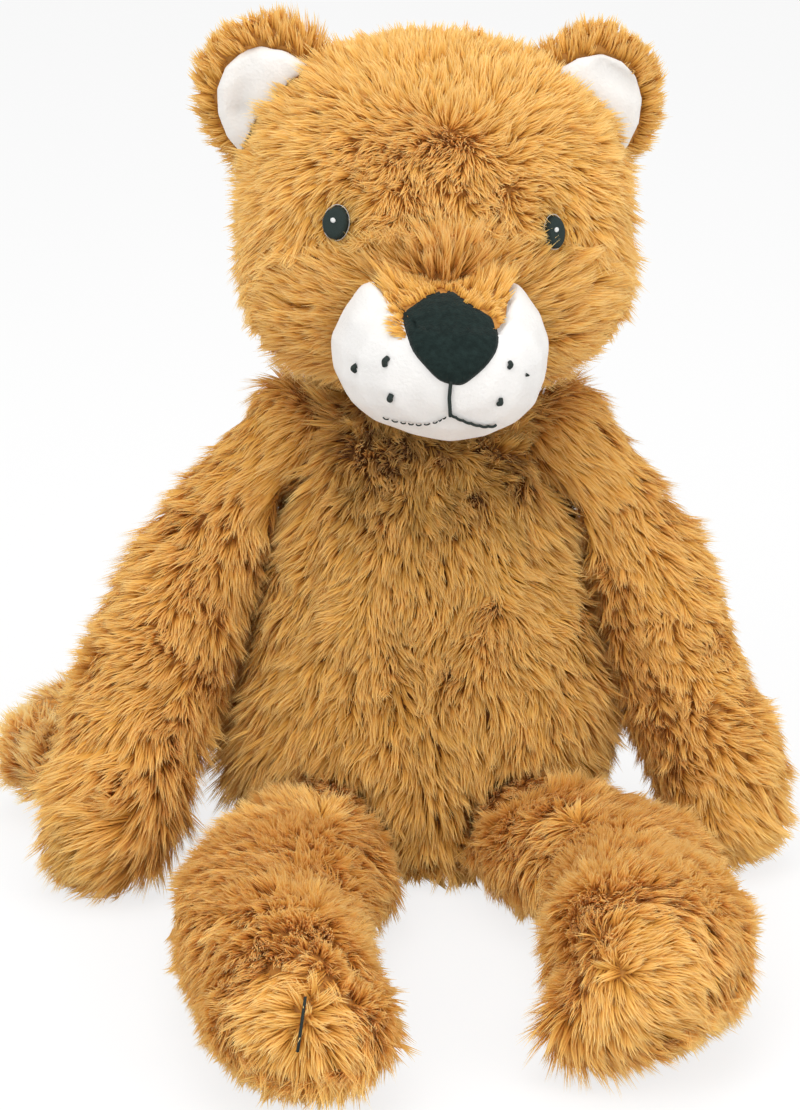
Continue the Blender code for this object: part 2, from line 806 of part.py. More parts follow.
def make_muzzle():
    head_room = head_form("head_room", -seam_gap)
    outer = muzzle_form("muzzle_outer", 0.0)
    hollow = muzzle_form("muzzle_hollow", muzzle_skin_wall)
    filling = muzzle_form("muzzle_filling", muzzle_skin_wall + seam_gap)
    top = muzzle_middle_z + 2.0 * muzzle_half_height
    high = muzzle_middle_z + muzzle_half_height
    slope = (bridge_top_half_width - bridge_nose_half_width) / (high - bridge_bottom_z)
    wide = bridge_nose_half_width + slope * (top - bridge_bottom_z)

    def wedge(name, grow):
        low = bridge_bottom_z - grow
        narrow = bridge_nose_half_width + grow
        outline = [(-narrow, low), (narrow, low), (wide + grow, top), (-wide - grow, top)]
        return prism(name, outline, 0.0, muzzle_middle_y - 2.0 * muzzle_half_length)

    bridge_room = wedge("bridge_room", seam_gap)
    below = half_space("below_mouth", upward * (mouth_z + seam_gap / 2.0), -upward)
    above = half_space("above_mouth", upward * (mouth_z - seam_gap / 2.0), upward)
    parts = []
    for name, facing in (("muzzle_left", across), ("muzzle_right", -across)):
        beyond = half_space(name + "_beyond", facing * seam_gap / 2.0, -facing)
        steps = cut(hollow, head_room, bridge_room, below, beyond)
        parts.append(piece(shaped(name, outer, steps, lion), white_plush))
    steps = cut(hollow, head_room, above)
    parts.append(piece(shaped("chin", outer, steps, lion), white_plush))
    steps = keep(wedge("bridge_wedge", 0.0)) + cut(hollow, head_room)
    parts.append(piece(shaped("nose_bridge", outer, steps, lion), fur))
    parts.append(piece(shaped("muzzle_stuffing", filling, cut(head_room), lion), fibre_fill))
    return parts


def make_features():
    shield = [(x * nose_half_width, nose_middle_z + z * nose_height) for x, z in nose_shares]
    mirrored = [(-x * nose_half_width, nose_middle_z + z * nose_height) for x, z in nose_shares if x > 0.0]
    outline = shield + mirrored[::-1]
    parts = [patch("nose", outline, muzzle_form, muzzle_middle_y, seam_gap, nose_thickness, dark_thread)]
    for side, sign in limb_sides_of_body.items():
        place = eye_out * sign
        outline = oval(place, eye_z, eye_half_width, eye_half_height)
        parts.append(patch(side + "_eye", outline, head_form, 0.0, seam_gap, eye_thickness, dark_thread))
        aside, up = highlight_shares
        outline = oval(place + eye_half_width * aside, eye_z + eye_half_height * up,
                       highlight_radius, highlight_radius)
        lift = 2.0 * seam_gap + eye_thickness
        parts.append(patch(side + "_eye_highlight", outline, head_form, 0.0, lift, highlight_thickness, white_plush))
    read = surface_reader(muzzle_form("muzzle_face", 0.0))

    def on_face(x, z):
        return read(across * x + upward * z - forward * (muzzle_middle_y - 2.0 * muzzle_half_length), -forward)

    for side, sign in limb_sides_of_body.items():
        for index, (out, down) in enumerate(whisker_shares):
            x = whisker_out * out * sign
            z = whisker_top_z - whisker_drop * down
            run = [on_face(x, z + whisker_half_length * step) for step in (-1, 0, 1)]
            parts.append(thread(side + "_whisker_stitch_" + str(index + 1), run, lion))
    nose_bottom = nose_middle_z - nose_height / 2.0
    lip = [nose_bottom - 2.0 * thread_radius, mouth_z]
    upright = [on_face(0.0, lip[0] + (lip[1] - lip[0]) * step / thread_steps) for step in range(thread_steps + 1)]
    smile = []
    count = 3 * thread_steps
    for step in range(count + 1):
        share = 2.0 * step / count - 1.0
        z = mouth_z - mouth_dip * sin(pi * min(1.0, abs(share) / mouth_corner_share) / 2.0) ** 2
        smile.append(on_face(mouth_half_width * share, z))
    lip_thread = thread("lip_thread", upright, cutters)
    smile_thread = thread("smile_thread", smile, cutters)
    parts.append(piece(shaped("mouth_stitching", smile_thread, join(lip_thread), lion), dark_thread))
    return parts


def ear_form(name, half_width, half_height, half_thickness, ahead, drop):
    def ring_at(share):
        along = (1.0 - cos(pi * share)) / 2.0
        end = sqrt(max(0.0, 1.0 - (2.0 * along - 1.0) ** 2))
        middle = upward * (half_height * (2.0 * along - 1.0) - drop) + forward * ahead
        half_b = forward * half_thickness * end ** ear_edge_power
        return middle, across * half_width * end, half_b, ear_squareness

    return swollen(name, ring_at, ear_sides, ear_rings)


def make_ear(side, head_room):
    sign = limb_sides_of_body[side]
    lean = Matrix.Rotation(ear_lean * sign, 4, -forward)
    face = Matrix.Rotation(ear_face_out * sign, 4, upward)
    middle = across * ear_out * sign - forward * ear_back + upward * ear_z
    pose = Matrix.Translation(middle) @ lean @ face
    whole = ear_form("ear_whole", ear_half_width, ear_half_height, ear_half_thickness, 0.0, 0.0)
    wide = ear_half_width - ear_rim
    high = ear_half_height - ear_rim
    shift = ear_half_thickness
    drop = ear_dish_drop
    dish = ear_form("ear_dish", wide, high, ear_dish_depth, shift, drop)
    pad = ear_form("ear_pad", wide - seam_gap, high - seam_gap, ear_dish_depth - seam_gap, shift, drop)
    inner_wide = wide - ear_lining_thickness
    inner_high = high - ear_lining_thickness
    inner_deep = ear_dish_depth - ear_lining_thickness
    hollow = ear_form("ear_pad_front", inner_wide, inner_high, inner_deep, shift, drop)
    rim = half_space("ear_rim_plane", forward * (shift - ear_lining_thickness / 2.0), forward)
    for item in (whole, dish, pad, hollow, rim):
        item.data.transform(pose)
    root = pose @ (upward * -ear_half_height * ear_root_share)
    axis = (pose.to_3x3() @ across).normalized()
    blockers = swung(head_room, root, axis, -ear_fold_back, ear_fold_forward)
    back = piece(shaped(side + "_ear_back", whole, cut(dish, *blockers), lion), fur)
    lining = piece(shaped(side + "_ear_lining", pad, cut(hollow, *blockers), lion), white_plush)
    return root, [back, lining]


make_torso()
clear_body = torso_form("torso_clear", -swing_margin, neck_skin_radius)
neck_holder = make_neck()
for side in limb_sides_of_body:
    make_arm(side, clear_body)
    make_leg(side, clear_body)
make_tail(clear_body)
head_parts = make_head()
head_turned = Matrix.Rotation(head_tilt, 4, -forward) @ Matrix.Rotation(head_turn, 4, upward)
head_clear = head_form("head_clear", -swing_margin)
ears = {side: make_ear(side, head_clear) for side in limb_sides_of_body}
head_holder = hold("head_nod", neck_pivot, head_parts, neck_holder)
for side, (root, parts) in ears.items():
    hold(side + "_ear_root", root, parts, head_holder)
head_holder.matrix_world = Matrix.Translation(neck_pivot) @ head_turned
bpy.context.view_layer.update()
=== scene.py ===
import random
from math import cos, pi, radians, sin

import bmesh
import bpy
import numpy as np
from mathutils import Matrix, Vector
from mathutils.bvhtree import BVHTree


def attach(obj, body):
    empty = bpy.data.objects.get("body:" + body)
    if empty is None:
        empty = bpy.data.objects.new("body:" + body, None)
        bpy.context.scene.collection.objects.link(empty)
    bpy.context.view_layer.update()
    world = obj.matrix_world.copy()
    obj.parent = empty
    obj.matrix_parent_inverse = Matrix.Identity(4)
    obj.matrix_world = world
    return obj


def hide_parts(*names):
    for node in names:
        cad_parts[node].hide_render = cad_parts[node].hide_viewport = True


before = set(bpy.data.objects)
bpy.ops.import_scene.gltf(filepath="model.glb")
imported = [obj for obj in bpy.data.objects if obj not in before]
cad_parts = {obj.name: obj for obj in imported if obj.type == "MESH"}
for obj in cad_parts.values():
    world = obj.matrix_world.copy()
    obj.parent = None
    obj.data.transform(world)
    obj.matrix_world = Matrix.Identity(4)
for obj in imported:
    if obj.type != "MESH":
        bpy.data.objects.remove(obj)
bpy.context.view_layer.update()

millimetre = 0.001
farAway = 99.0
downwards = np.array((0.0, 0.0, -1.0))

# The photograph's camera, found from the seat, the feet and the head
photoCamera = {"place": (-0.0087, -1.1854, 0.4908), "tilt": 72.0, "lens": 114.45, "sensor": 36.0}

# How the head sits on the neck, as in the model
headPose = {"pivot": (0.0, 0.004, 0.158), "turn": 5.0, "tilt": 2.0}

studio = {
    "world": 0.75,
    "key": {"place": (-0.75, -1.35, 1.25), "size": 1.3, "watts": 12.2},
    "fill": {"place": (1.1, -1.0, 0.8), "size": 1.2, "watts": 8.4},
    "top": {"place": (0.0, -0.3, 1.5), "size": 1.2, "watts": 8.6},
}

# Colours are in linear light
furColours = {
    "root": (0.62, 0.275, 0.034), "low": (0.84, 0.46, 0.085),
    "high": (0.95, 0.62, 0.18), "tip": (0.99, 0.77, 0.35),
    # The torso's backing shows only where shade falls, in crevices and under the head, and its darker colour is
    # painted shade
    "backing": (0.34, 0.155, 0.035), "torsoShadeBacking": (0.13, 0.058, 0.016),
}
tailColours = {
    "root": (0.79, 0.39, 0.08), "low": (0.93, 0.56, 0.15),
    "high": (0.985, 0.73, 0.28), "tip": (0.99, 0.85, 0.48),
    "backing": (0.36, 0.18, 0.05),
}
clothColours = {
    "whitePlush": (0.708, 0.695, 0.677), "earLining": (0.715, 0.692, 0.662), "nose": (0.0085, 0.0148, 0.0135),
    "eyeThread": ((0.012, 0.02, 0.018), (0.045, 0.06, 0.055)),
    "paleThread": ((0.55, 0.56, 0.54), (0.9, 0.9, 0.88)),
    "darkThread": ((0.01, 0.016, 0.014), (0.05, 0.062, 0.058)),
}

tuftShape = {
    "kinds": 7, "strands": 6, "rows": 2, "rootRadius": 0.95, "strandWidth": 0.62,
    "tipRadius": 1.05, "bend": 0.2, "length": 10.0, "twist": 38.0,
}


def headMatrix():
    pivot = Vector(headPose["pivot"])
    turn = Matrix.Rotation(radians(headPose["tilt"]), 4, (0, 1, 0))
    turn = turn @ Matrix.Rotation(radians(headPose["turn"]), 4, (0, 0, 1))
    return Matrix.Translation(pivot) @ turn @ Matrix.Translation(-pivot)


headTurned = headMatrix()


def addObject(name, mesh):
    obj = bpy.data.objects.new(name, mesh)
    bpy.context.scene.collection.objects.link(obj)
    return obj


def applied(name, obj):
    mesh = bpy.data.meshes.new_from_object(obj.evaluated_get(bpy.context.evaluated_depsgraph_get()))
    mesh.name = name
    bpy.data.objects.remove(obj, do_unlink=True)
    return addObject(name, mesh)


def outerSurface(obj):
    # Hollows inside a form leave surfaces of their own, and only the largest one is kept
    bm = bmesh.new()
    bm.from_mesh(obj.data)
    left = set(bm.verts)
    largest = set()
    while left:
        start = left.pop()
        found = {start}
        edge = [start]
        while edge:
            for link in edge.pop().link_edges:
                for vert in link.verts:
                    if vert not in found:
                        found.add(vert)
                        edge.append(vert)
        left -= found
        if len(found) > len(largest):
            largest = found
    bmesh.ops.delete(bm, geom=[vert for vert in bm.verts if vert not in largest], context='VERTS')
    bm.to_mesh(obj.data)
    bm.free()
    return obj


def formOf(name, nodeNames, voxel, inset, smooth):
    bm = bmesh.new()
    for nodeName in nodeNames:
        bm.from_mesh(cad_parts[nodeName].data)
    bmesh.ops.remove_doubles(bm, verts=bm.verts, dist=0.00001)
    mesh = bpy.data.meshes.new(name)
    bm.to_mesh(mesh)
    bm.free()
    obj = addObject(name, mesh)
    remesh = obj.modifiers.new("skin", 'REMESH')
    remesh.mode = 'VOXEL'
    remesh.voxel_size = voxel
    obj = outerSurface(applied(name, obj))
    soften = obj.modifiers.new("soften", 'SMOOTH')
    soften.factor = 0.5
    soften.iterations = smooth
    shrink = obj.modifiers.new("shrink", 'DISPLACE')
    shrink.strength = -inset
    shrink.mid_level = 0.0
    result = applied(name, obj)
    result.data.shade_smooth()
    return result


def vertexArrays(obj):
    places = np.empty(len(obj.data.vertices) * 3)
    normals = np.empty_like(places)
    obj.data.vertices.foreach_get("co", places)
    obj.data.vertex_normals.foreach_get("vector", normals)
    return places.reshape(-1, 3), normals.reshape(-1, 3)


def movePoints(obj, places):
    obj.data.vertices.foreach_set("co", places.ravel())
    obj.data.update()
    return vertexArrays(obj)


def lengthOf(vectors):
    return np.linalg.norm(vectors, axis=1)


def nearTo(places, spot, reach):
    # 1 at the spot, falling to 0 away from it
    return np.exp(-(lengthOf(places - np.array(spot)) / reach) ** 2)


def unit(vectors):
    return vectors / np.maximum(lengthOf(vectors), 1e-9)[:, None]


def tangent(vectors, normals):
    flat = vectors - normals * np.sum(vectors * normals, axis=1, keepdims=True)
    return unit(flat)


def ramp(values, low, high):
    t = np.clip((values - low) / (high - low), 0.0, 1.0)
    return t * t * (3.0 - 2.0 * t)


def fall(values, low, high):
    return 1.0 - ramp(values, low, high)


def store(obj, name, values, kind='FLOAT'):
    layer = obj.data.attributes.get(name) or obj.data.attributes.new(name, kind, 'POINT')
    field = "vector" if kind == 'FLOAT_VECTOR' else "value"
    layer.data.foreach_set(field, np.ascontiguousarray(values, dtype=np.float32).ravel())


def nodeAt(tree, kind, inputs=None, **settings):
    # Each input is either linked to another node or set to a value
    node = tree.nodes.new(kind)
    for key, value in settings.items():
        setattr(node, key, value)
    for socket, value in (inputs or {}).items():
        if isinstance(value, bpy.types.NodeSocket):
            tree.links.new(value, node.inputs[socket])
        else:
            node.inputs[socket].default_value = value
    return node


# Materials

def principled(name, roughness, sheen=0.0, shine=0.25):
    material = bpy.data.materials.new(name)
    material.use_nodes = True
    shader = material.node_tree.nodes["Principled BSDF"]
    shader.inputs["Roughness"].default_value = roughness
    shader.inputs["Specular IOR Level"].default_value = shine
    shader.inputs["Sheen Weight"].default_value = sheen
    shader.inputs["Sheen Roughness"].default_value = 0.5
    return material, material.node_tree, shader


def colourRamp(tree, value, stops):
    node = nodeAt(tree, "ShaderNodeValToRGB", {"Fac": value})
    elements = node.color_ramp.elements
    while len(elements) < len(stops):
        elements.new(0.5)
    for element, (place, colour) in zip(elements, stops):
        element.position = place
        element.color = (*colour, 1.0)
    return node.outputs["Color"]


def pileMaterial(name, colours):
    material, tree, shader = principled(name, 0.85, 0.15)
    strand = nodeAt(tree, "ShaderNodeUVMap", uv_map="OFBake")
    split = nodeAt(tree, "ShaderNodeSeparateXYZ", {0: strand.outputs["UV"]}).outputs
    # Darker towards the root is partly the pile's own colour and partly painted shade deep in the pile
    along = colourRamp(tree, split["Y"], [(0.0, colours["root"]), (0.3, colours["low"]),
                                          (0.68, colours["high"]), (1.0, colours["tip"])])
    tone = colourRamp(tree, split["X"], [(0.0, (0.44, 0.36, 0.24)), (0.5, (0.92, 0.92, 0.92)),
                                         (1.0, (1.0, 1.04, 1.15))])
    mix = nodeAt(tree, "ShaderNodeMix", {"Factor": 1.0, 6: along, 7: tone}, data_type='RGBA', blend_type='MULTIPLY')
    tree.links.new(mix.outputs[2], shader.inputs["Base Color"])
    glow = nodeAt(tree, "ShaderNodeBsdfTranslucent", {"Color": mix.outputs[2]})
    blend = nodeAt(tree, "ShaderNodeMixShader", {0: 0.4, 1: shader.outputs[0], 2: glow.outputs[0]})
    tree.links.new(blend.outputs[0], tree.nodes["Material Output"].inputs["Surface"])
    return material


def texture(tree, kind, output, **sizes):
    place = tree.nodes.new("ShaderNodeTexCoord")
    return nodeAt(tree, kind, {"Vector": place.outputs["Object"], **sizes}).outputs[output]


def noise(tree, **sizes):
    return texture(tree, "ShaderNodeTexNoise", "Fac", **sizes)


def scaled(colour, share):
    return tuple(channel * share for channel in colour)


def clothMaterial(name, finish, pattern, stops, relief, strength, depth, shaded=None):
    # The pattern tints the cloth between its two colours, and the relief lifts its surface
    material, tree, shader = principled(name, *finish)
    base = colourRamp(tree, pattern(tree), stops)
    if shaded:
        deep = nodeAt(tree, "ShaderNodeAttribute", attribute_name=shaded)
        tints = {"Factor": deep.outputs["Fac"], 6: base, 7: (*scaled(stops[1][1], 0.6), 1.0)}
        base = nodeAt(tree, "ShaderNodeMix", tints, data_type='RGBA').outputs[2]
    tree.links.new(base, shader.inputs["Base Color"])
    bump = nodeAt(tree, "ShaderNodeBump", {"Strength": strength, "Distance": depth, "Height": relief(tree)})
    tree.links.new(bump.outputs["Normal"], shader.inputs["Normal"])
    return material


def backingMaterial(name, colour):
    def weave(tree):
        return noise(tree, Scale=420.0, Detail=3.0)
    stops = [(0.3, colour), (0.75, scaled(colour, 1.4))]
    return clothMaterial(name, (0.95,), weave, stops, weave, 0.8, 0.001)


def whiteMaterial(name, colour, shaded=None):
    def cloud(tree):
        return noise(tree, Scale=90.0)

    def nap(tree):
        return noise(tree, Scale=900.0, Detail=4.0)
    stops = [(0.3, scaled(colour, 0.94)), (0.65, colour)]
    return clothMaterial(name, (0.9, 0.2), cloud, stops, nap, 0.5, 0.0006, shaded)


def fleeceMaterial(name, colour):
    def cloud(tree):
        return noise(tree, Scale=500.0)

    def knit(tree):
        return texture(tree, "ShaderNodeTexVoronoi", "Distance", Scale=1500.0)
    stops = [(0.35, colour), (0.85, scaled(colour, 1.9))]
    return clothMaterial(name, (0.9, 0.05, 0.05), cloud, stops, knit, 0.5, 0.0004)


def threadMaterial(name, colour, lighter):
    def twist(tree):
        return texture(tree, "ShaderNodeTexWave", "Fac", Scale=900.0, Distortion=1.5)
    return clothMaterial(name, (0.6, 0.0, 0.08), twist, [(0.2, colour), (0.9, lighter)], twist, 0.6, 0.0003)


furPile = pileMaterial("furPile", furColours)
tailPile = pileMaterial("tailPile", tailColours)
furBacking = backingMaterial("furBacking", furColours["backing"])
torsoShadeBacking = backingMaterial("torsoShadeBacking", furColours["torsoShadeBacking"])
tailBacking = backingMaterial("tailBacking", tailColours["backing"])
whitePlush = whiteMaterial("whitePlush", clothColours["whitePlush"])
earPlush = whiteMaterial("earPlush", clothColours["earLining"], "shade")
noseFleece = fleeceMaterial("noseFleece", clothColours["nose"])
eyeThread = threadMaterial("eyeThread", *clothColours["eyeThread"])
paleThread = threadMaterial("paleThread", *clothColours["paleThread"])
darkThread = threadMaterial("darkThread", *clothColours["darkThread"])


# Fur

def tuftMesh(name, seed, shape):
    chance = random.Random(seed)
    bm = bmesh.new()
    layer = bm.loops.layers.uv.new("OFBake")
    strands = shape["strands"]
    rows = shape["rows"]
    for strand in range(strands):
        around = 2.0 * pi * (strand + chance.uniform(-0.3, 0.3)) / strands
        out = Vector((cos(around), sin(around), 0.0))
        twist = radians(chance.uniform(-shape["twist"], shape["twist"]))
        side = Vector((-sin(twist), cos(twist), 0.0))
        length = shape["length"] * chance.uniform(0.7, 1.06)
        sway = side * chance.uniform(-0.9, 0.9) + out * chance.uniform(-0.3, 0.7)
        previous = None
        for row in range(rows + 1):
            t = row / rows
            radius = shape["rootRadius"] * (1.0 - t) ** 0.8 + shape["tipRadius"] * t * chance.uniform(0.1, 1.0)
            width = shape["strandWidth"] * (1.0 - 0.3 * t) * 0.5
            bend = shape["bend"] * length * t * t
            middle = out * radius + sway * t * t + Vector((bend, 0.0, length * t))
            if row == rows:
                current = [bm.verts.new(middle * millimetre)]
            else:
                current = [bm.verts.new((middle - side * width) * millimetre),
                           bm.verts.new((middle + side * width) * millimetre)]
            if previous:
                face = bm.faces.new(previous + current[::-1])
                face.smooth = True
                for loop in face.loops:
                    high = loop.vert in current
                    loop[layer].uv = (0.5, t if high else (row - 1) / rows)
            previous = current
    bmesh.ops.triangulate(bm, faces=bm.faces)
    mesh = bpy.data.meshes.new(name)
    bm.to_mesh(mesh)
    bm.free()
    return addObject(name, mesh)


def furTree(name, tufts):
    tree = bpy.data.node_groups.new(name, 'GeometryNodeTree')
    sizes = {}
    for label, kind in (("Geometry", 'Geometry'), ("density", 'Float'), ("length", 'Float'), ("width", 'Float'),
                        ("tousle", 'Float'), ("clump", 'Float'), ("seed", 'Int'), ("pile", 'Material')):
        socket = tree.interface.new_socket(label, in_out='INPUT', socket_type='NodeSocket' + kind)
        sizes[label] = socket.identifier
    tree.interface.new_socket("Geometry", in_out='OUTPUT', socket_type='NodeSocketGeometry')
    given = tree.nodes.new("NodeGroupInput").outputs

    def node(kind, inputs=None, output=0, **settings):
        return nodeAt(tree, kind, inputs, **settings).outputs[output]

    def attribute(label, kind='FLOAT'):
        return node("GeometryNodeInputNamedAttribute", {"Name": label}, "Attribute", data_type=kind)

    def maths(operation, a, b):
        return node("ShaderNodeMath", {0: a, 1: b}, operation=operation)

    def vectorMaths(operation, a, b):
        other = "Scale" if operation == 'SCALE' else 1
        return node("ShaderNodeVectorMath", {0: a, other: b}, "Vector", operation=operation)

    def chance(low, high, shift):
        seed = maths('ADD', given["seed"], float(shift))
        return node("FunctionNodeRandomValue", {2: low, 3: high, "Seed": seed}, 1, data_type='FLOAT')

    def wandering(size, strength):
        waves = {"Vector": node("GeometryNodeInputPosition"), "Scale": maths('DIVIDE', 1.0, size), "Detail": 2.0}
        centred = vectorMaths('SUBTRACT', node("ShaderNodeTexNoise", waves, "Color"), (0.5, 0.5, 0.5))
        return vectorMaths('SCALE', centred, maths('MULTIPLY', given["tousle"], strength))

    density = maths('MULTIPLY', given["density"], attribute("cover"))
    ground = {"Mesh": given["Geometry"], "Density": density, "Seed": given["seed"]}
    scatter = nodeAt(tree, "GeometryNodeDistributePointsOnFaces", ground, distribute_method='RANDOM')
    # The pile leans with the comb attribute, wanders clump by clump, and each tuft strays a little
    swirl = vectorMaths('ADD', wandering(given["clump"], 5.0), wandering(maths('MULTIPLY', given["clump"], 3.5), 4.0))
    stray = {0: (-0.24, -0.24, -0.24), 1: (0.24, 0.24, 0.24), "Seed": given["seed"]}
    jitter = node("FunctionNodeRandomValue", stray, data_type='FLOAT_VECTOR')
    combing = vectorMaths('ADD', attribute("comb", 'FLOAT_VECTOR'), swirl)
    leaning = vectorMaths('ADD', vectorMaths('ADD', combing, scatter.outputs["Normal"]), jitter)
    align = "FunctionNodeAlignRotationToVector"
    upright = node(align, {"Vector": leaning}, axis='Z')
    combed = node(align, {"Rotation": upright, "Vector": combing}, axis='X', pivot_axis='Z')
    length = maths('MULTIPLY', attribute("pile"), given["length"])
    length = maths('MULTIPLY', length, chance(0.66, 1.12, 11))
    width = maths('MULTIPLY', given["width"], chance(0.75, 1.2, 23))
    kinds = tree.nodes.new("GeometryNodeJoinGeometry")
    for tuft in tufts:
        strands = node("GeometryNodeObjectInfo", {"Object": tuft, "As Instance": True}, "Geometry")
        tree.links.new(strands, kinds.inputs[0])
    pick = node("FunctionNodeRandomValue", {4: 0, 5: len(tufts) - 1, "Seed": given["seed"]}, 2, data_type='INT')
    planted = node("GeometryNodeInstanceOnPoints", {
        "Points": scatter.outputs["Points"], "Instance": kinds.outputs[0], "Pick Instance": True,
        "Instance Index": pick, "Rotation": combed,
        "Scale": node("ShaderNodeCombineXYZ", {0: width, 1: width, 2: length}),
    })
    # Each strand's colour is read from its UV: across is its tone, up is root to tip
    tone = maths('ADD', attribute("tone"), chance(-0.16, 0.16, 37))
    tone = maths('MINIMUM', maths('MAXIMUM', tone, 0.01), 0.99)
    labelled = node("GeometryNodeStoreNamedAttribute", {"Geometry": planted, "Name": "strandTone", "Value": tone},
                    data_type='FLOAT', domain='INSTANCE')
    real = node("GeometryNodeRealizeInstances", {0: labelled})
    up = node("ShaderNodeSeparateXYZ", {0: attribute("OFBake", 'FLOAT_VECTOR')}, 1)
    spot = node("ShaderNodeCombineXYZ", {0: attribute("strandTone"), 1: up})
    unwrapped = node("GeometryNodeStoreNamedAttribute", {"Geometry": real, "Name": "OFBake", "Value": spot},
                     data_type='FLOAT2', domain='CORNER')
    dressed = node("GeometryNodeSetMaterial", {"Geometry": unwrapped, "Material": given["pile"]})
    tree.links.new(dressed, tree.nodes.new("NodeGroupOutput").inputs[0])
    return tree, sizes


tufts = [tuftMesh("tuft%d" % kind, 40 + kind, tuftShape) for kind in range(tuftShape["kinds"])]
furNodes, furSockets = furTree("furNodes", tufts)


plainFur = {"density": 300000.0, "length": 1.0, "width": 1.0, "clump": 0.01}


def growFur(name, skin, body, material, fur):
    fur = {**plainFur, **fur}
    obj = addObject(name, skin.data.copy())
    modifier = obj.modifiers.new("fur", 'NODES')
    modifier.node_group = furNodes
    for label in ("density", "length", "width", "tousle", "clump", "seed"):
        modifier[furSockets[label]] = fur[label]
    modifier[furSockets["pile"]] = material
    result = applied(name, obj)
    mesh = result.data
    # Strands that reach the floor lie down on it
    places = np.empty(len(mesh.vertices) * 3, dtype=np.float32)
    mesh.vertices.foreach_get("co", places)
    heights = places[2::3]
    lying = 0.0004 + 0.0012 * np.random.default_rng(fur["seed"]).random(len(heights))
    places[2::3] = np.where(heights < 0.0012, lying, heights)
    mesh.vertices.foreach_set("co", places)
    mesh.update()
    mesh.attributes.remove(mesh.attributes["strandTone"])
    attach(result, body)
    print(name, "triangles", len(mesh.polygons))
    return result


def growHalves(name, skin, body, material, fur, places):
    # Front and back are two pieces, so that neither is too large
    cover = np.empty(len(skin.data.vertices), dtype=np.float32)
    skin.data.attributes["cover"].data.foreach_get("value", cover)
    front = (places[:, 1] < fur["split"]).astype(np.float32)
    for half, share in (("Front", front), ("Back", 1.0 - front)):
        skin.data.attributes["cover"].data.foreach_set("value", cover * share)
        growFur(name + half, skin, body, material, fur)


def describePile(skin, comb, lean, pile, cover, tone):
    count = len(skin.data.vertices)
    leaning = comb * np.reshape(np.broadcast_to(lean, count), (-1, 1))
    store(skin, "comb", leaning, 'FLOAT_VECTOR')
    for label, values in (("pile", pile), ("cover", cover), ("tone", tone)):
        store(skin, label, np.broadcast_to(values, count))


def combOf(places, normals, base, whorls=()):
    flow = base * np.ones((len(places), 1))
    for centre, reach, strength in whorls:
        flow = flow + unit(places - np.array(centre)) * nearTo(places, centre, reach)[:, None] * strength
    comb = tangent(flow, normals)
    # No strand is combed into the floor
    low = fall(places[:, 2], 0.002, 0.02)
    comb[:, 2] = np.where(low > 0.0, np.maximum(comb[:, 2], -0.1 - 0.5 * (1.0 - low)) + 0.2 * low, comb[:, 2])
    return comb


def patches(places, spots):
    # Each spot is a middle, a reach and how much longer the pile is there
    share = np.ones(len(places))
    for centre, reach, more in spots:
        share = share + nearTo(places, centre, reach) * more
    return share


def whorlCover(places, whorls):
    # More strands where the pile parts, so that the backing stays hidden
    return patches(places, [(centre, reach * 0.5, 0.9) for centre, reach, _ in whorls])


def oval(across, up, halfWidth, halfHeight):
    # 1 on the oval's edge, less inside it
    return (across / halfWidth) ** 2 + (up / halfHeight) ** 2


def moved(obj, places, normals, dents):
    # Each dent is a middle, a reach and a shift, along the normal or as a vector
    for centre, reach, shift in dents:
        push = normals * shift if isinstance(shift, float) else np.array(shift)
        places = places + nearTo(places, centre, reach)[:, None] * push
    return movePoints(obj, places)


def distanceToPath(places, points):
    nearest = np.full(len(places), farAway)
    for first, second in zip(points, points[1:]):
        start = np.array(first)
        run = np.array(second) - start
        share = np.clip((places - start) @ run / (run @ run), 0.0, 1.0)
        nearest = np.minimum(nearest, lengthOf(places - start - share[:, None] * run))
    return nearest


def creaseNear(places, points, reach):
    # 1 on a crease, which runs through the points, and 0 away from it
    return np.exp(-(distanceToPath(places, points) / reach) ** 2)


def outlineDistance(points, outline):
    # Below 0 inside the closed outline and above 0 outside it
    nearest = distanceToPath(points, outline + outline[:1])
    inside = np.zeros(len(points), dtype=bool)
    for first, second in zip(outline, outline[1:] + outline[:1]):
        crosses = (points[:, 1] > first[1]) != (points[:, 1] > second[1])
        if crosses.any():
            slope = (second[0] - first[0]) / (second[1] - first[1])
            inside ^= crosses & (points[:, 0] < first[0] + (points[:, 1] - first[1]) * slope)
    return np.where(inside, -nearest, nearest)


def hullOf(points, directions):
    # The outermost point in each direction
    hull = []
    for turn in range(directions):
        angle = 2.0 * pi * turn / directions
        best = tuple(points[np.argmax(points @ np.array((cos(angle), sin(angle))))])
        if best not in hull:
            hull.append(best)
    return hull


def treeOf(obj):
    mesh = obj.data
    places = [vert.co.copy() for vert in mesh.vertices]
    return BVHTree.FromPolygons(places, [face.vertices[:] for face in mesh.polygons])


def distanceTo(tree, places):
    return np.array([tree.find_nearest(Vector(place))[3] for place in places])


def outsideOf(tree, places, low, high):
    # 0 where a place is deeper in the form than low, 1 where it is further out than high
    depth = []
    for place in places:
        spot, normal, _, _ = tree.find_nearest(Vector(place))
        depth.append((Vector(place) - spot).dot(normal))
    return ramp(np.array(depth), low, high)


def beyondTorso(places, low=0.72, high=0.95):
    # 0 well inside the torso's outline at that height, 1 outside it, past the hollows for the limbs
    step = 0.006
    power = 2.2
    share = np.ones(len(places))
    for height in np.arange(0.0, 0.18, step):
        ring = torsoPlaces[np.abs(torsoPlaces[:, 2] - height - step / 2.0) < step]
        here = (places[:, 2] >= height) & (places[:, 2] < height + step)
        if len(ring) and here.any():
            width = np.max(np.abs(ring[:, 0]))
            middle = (np.max(ring[:, 1]) + np.min(ring[:, 1])) / 2.0
            depth = (np.max(ring[:, 1]) - np.min(ring[:, 1])) / 2.0
            across, along = np.abs(places[here, 0]), np.abs(places[here, 1] - middle)
            share[here] = (across / width) ** power + (along / depth) ** power
    return ramp(share, low, high)


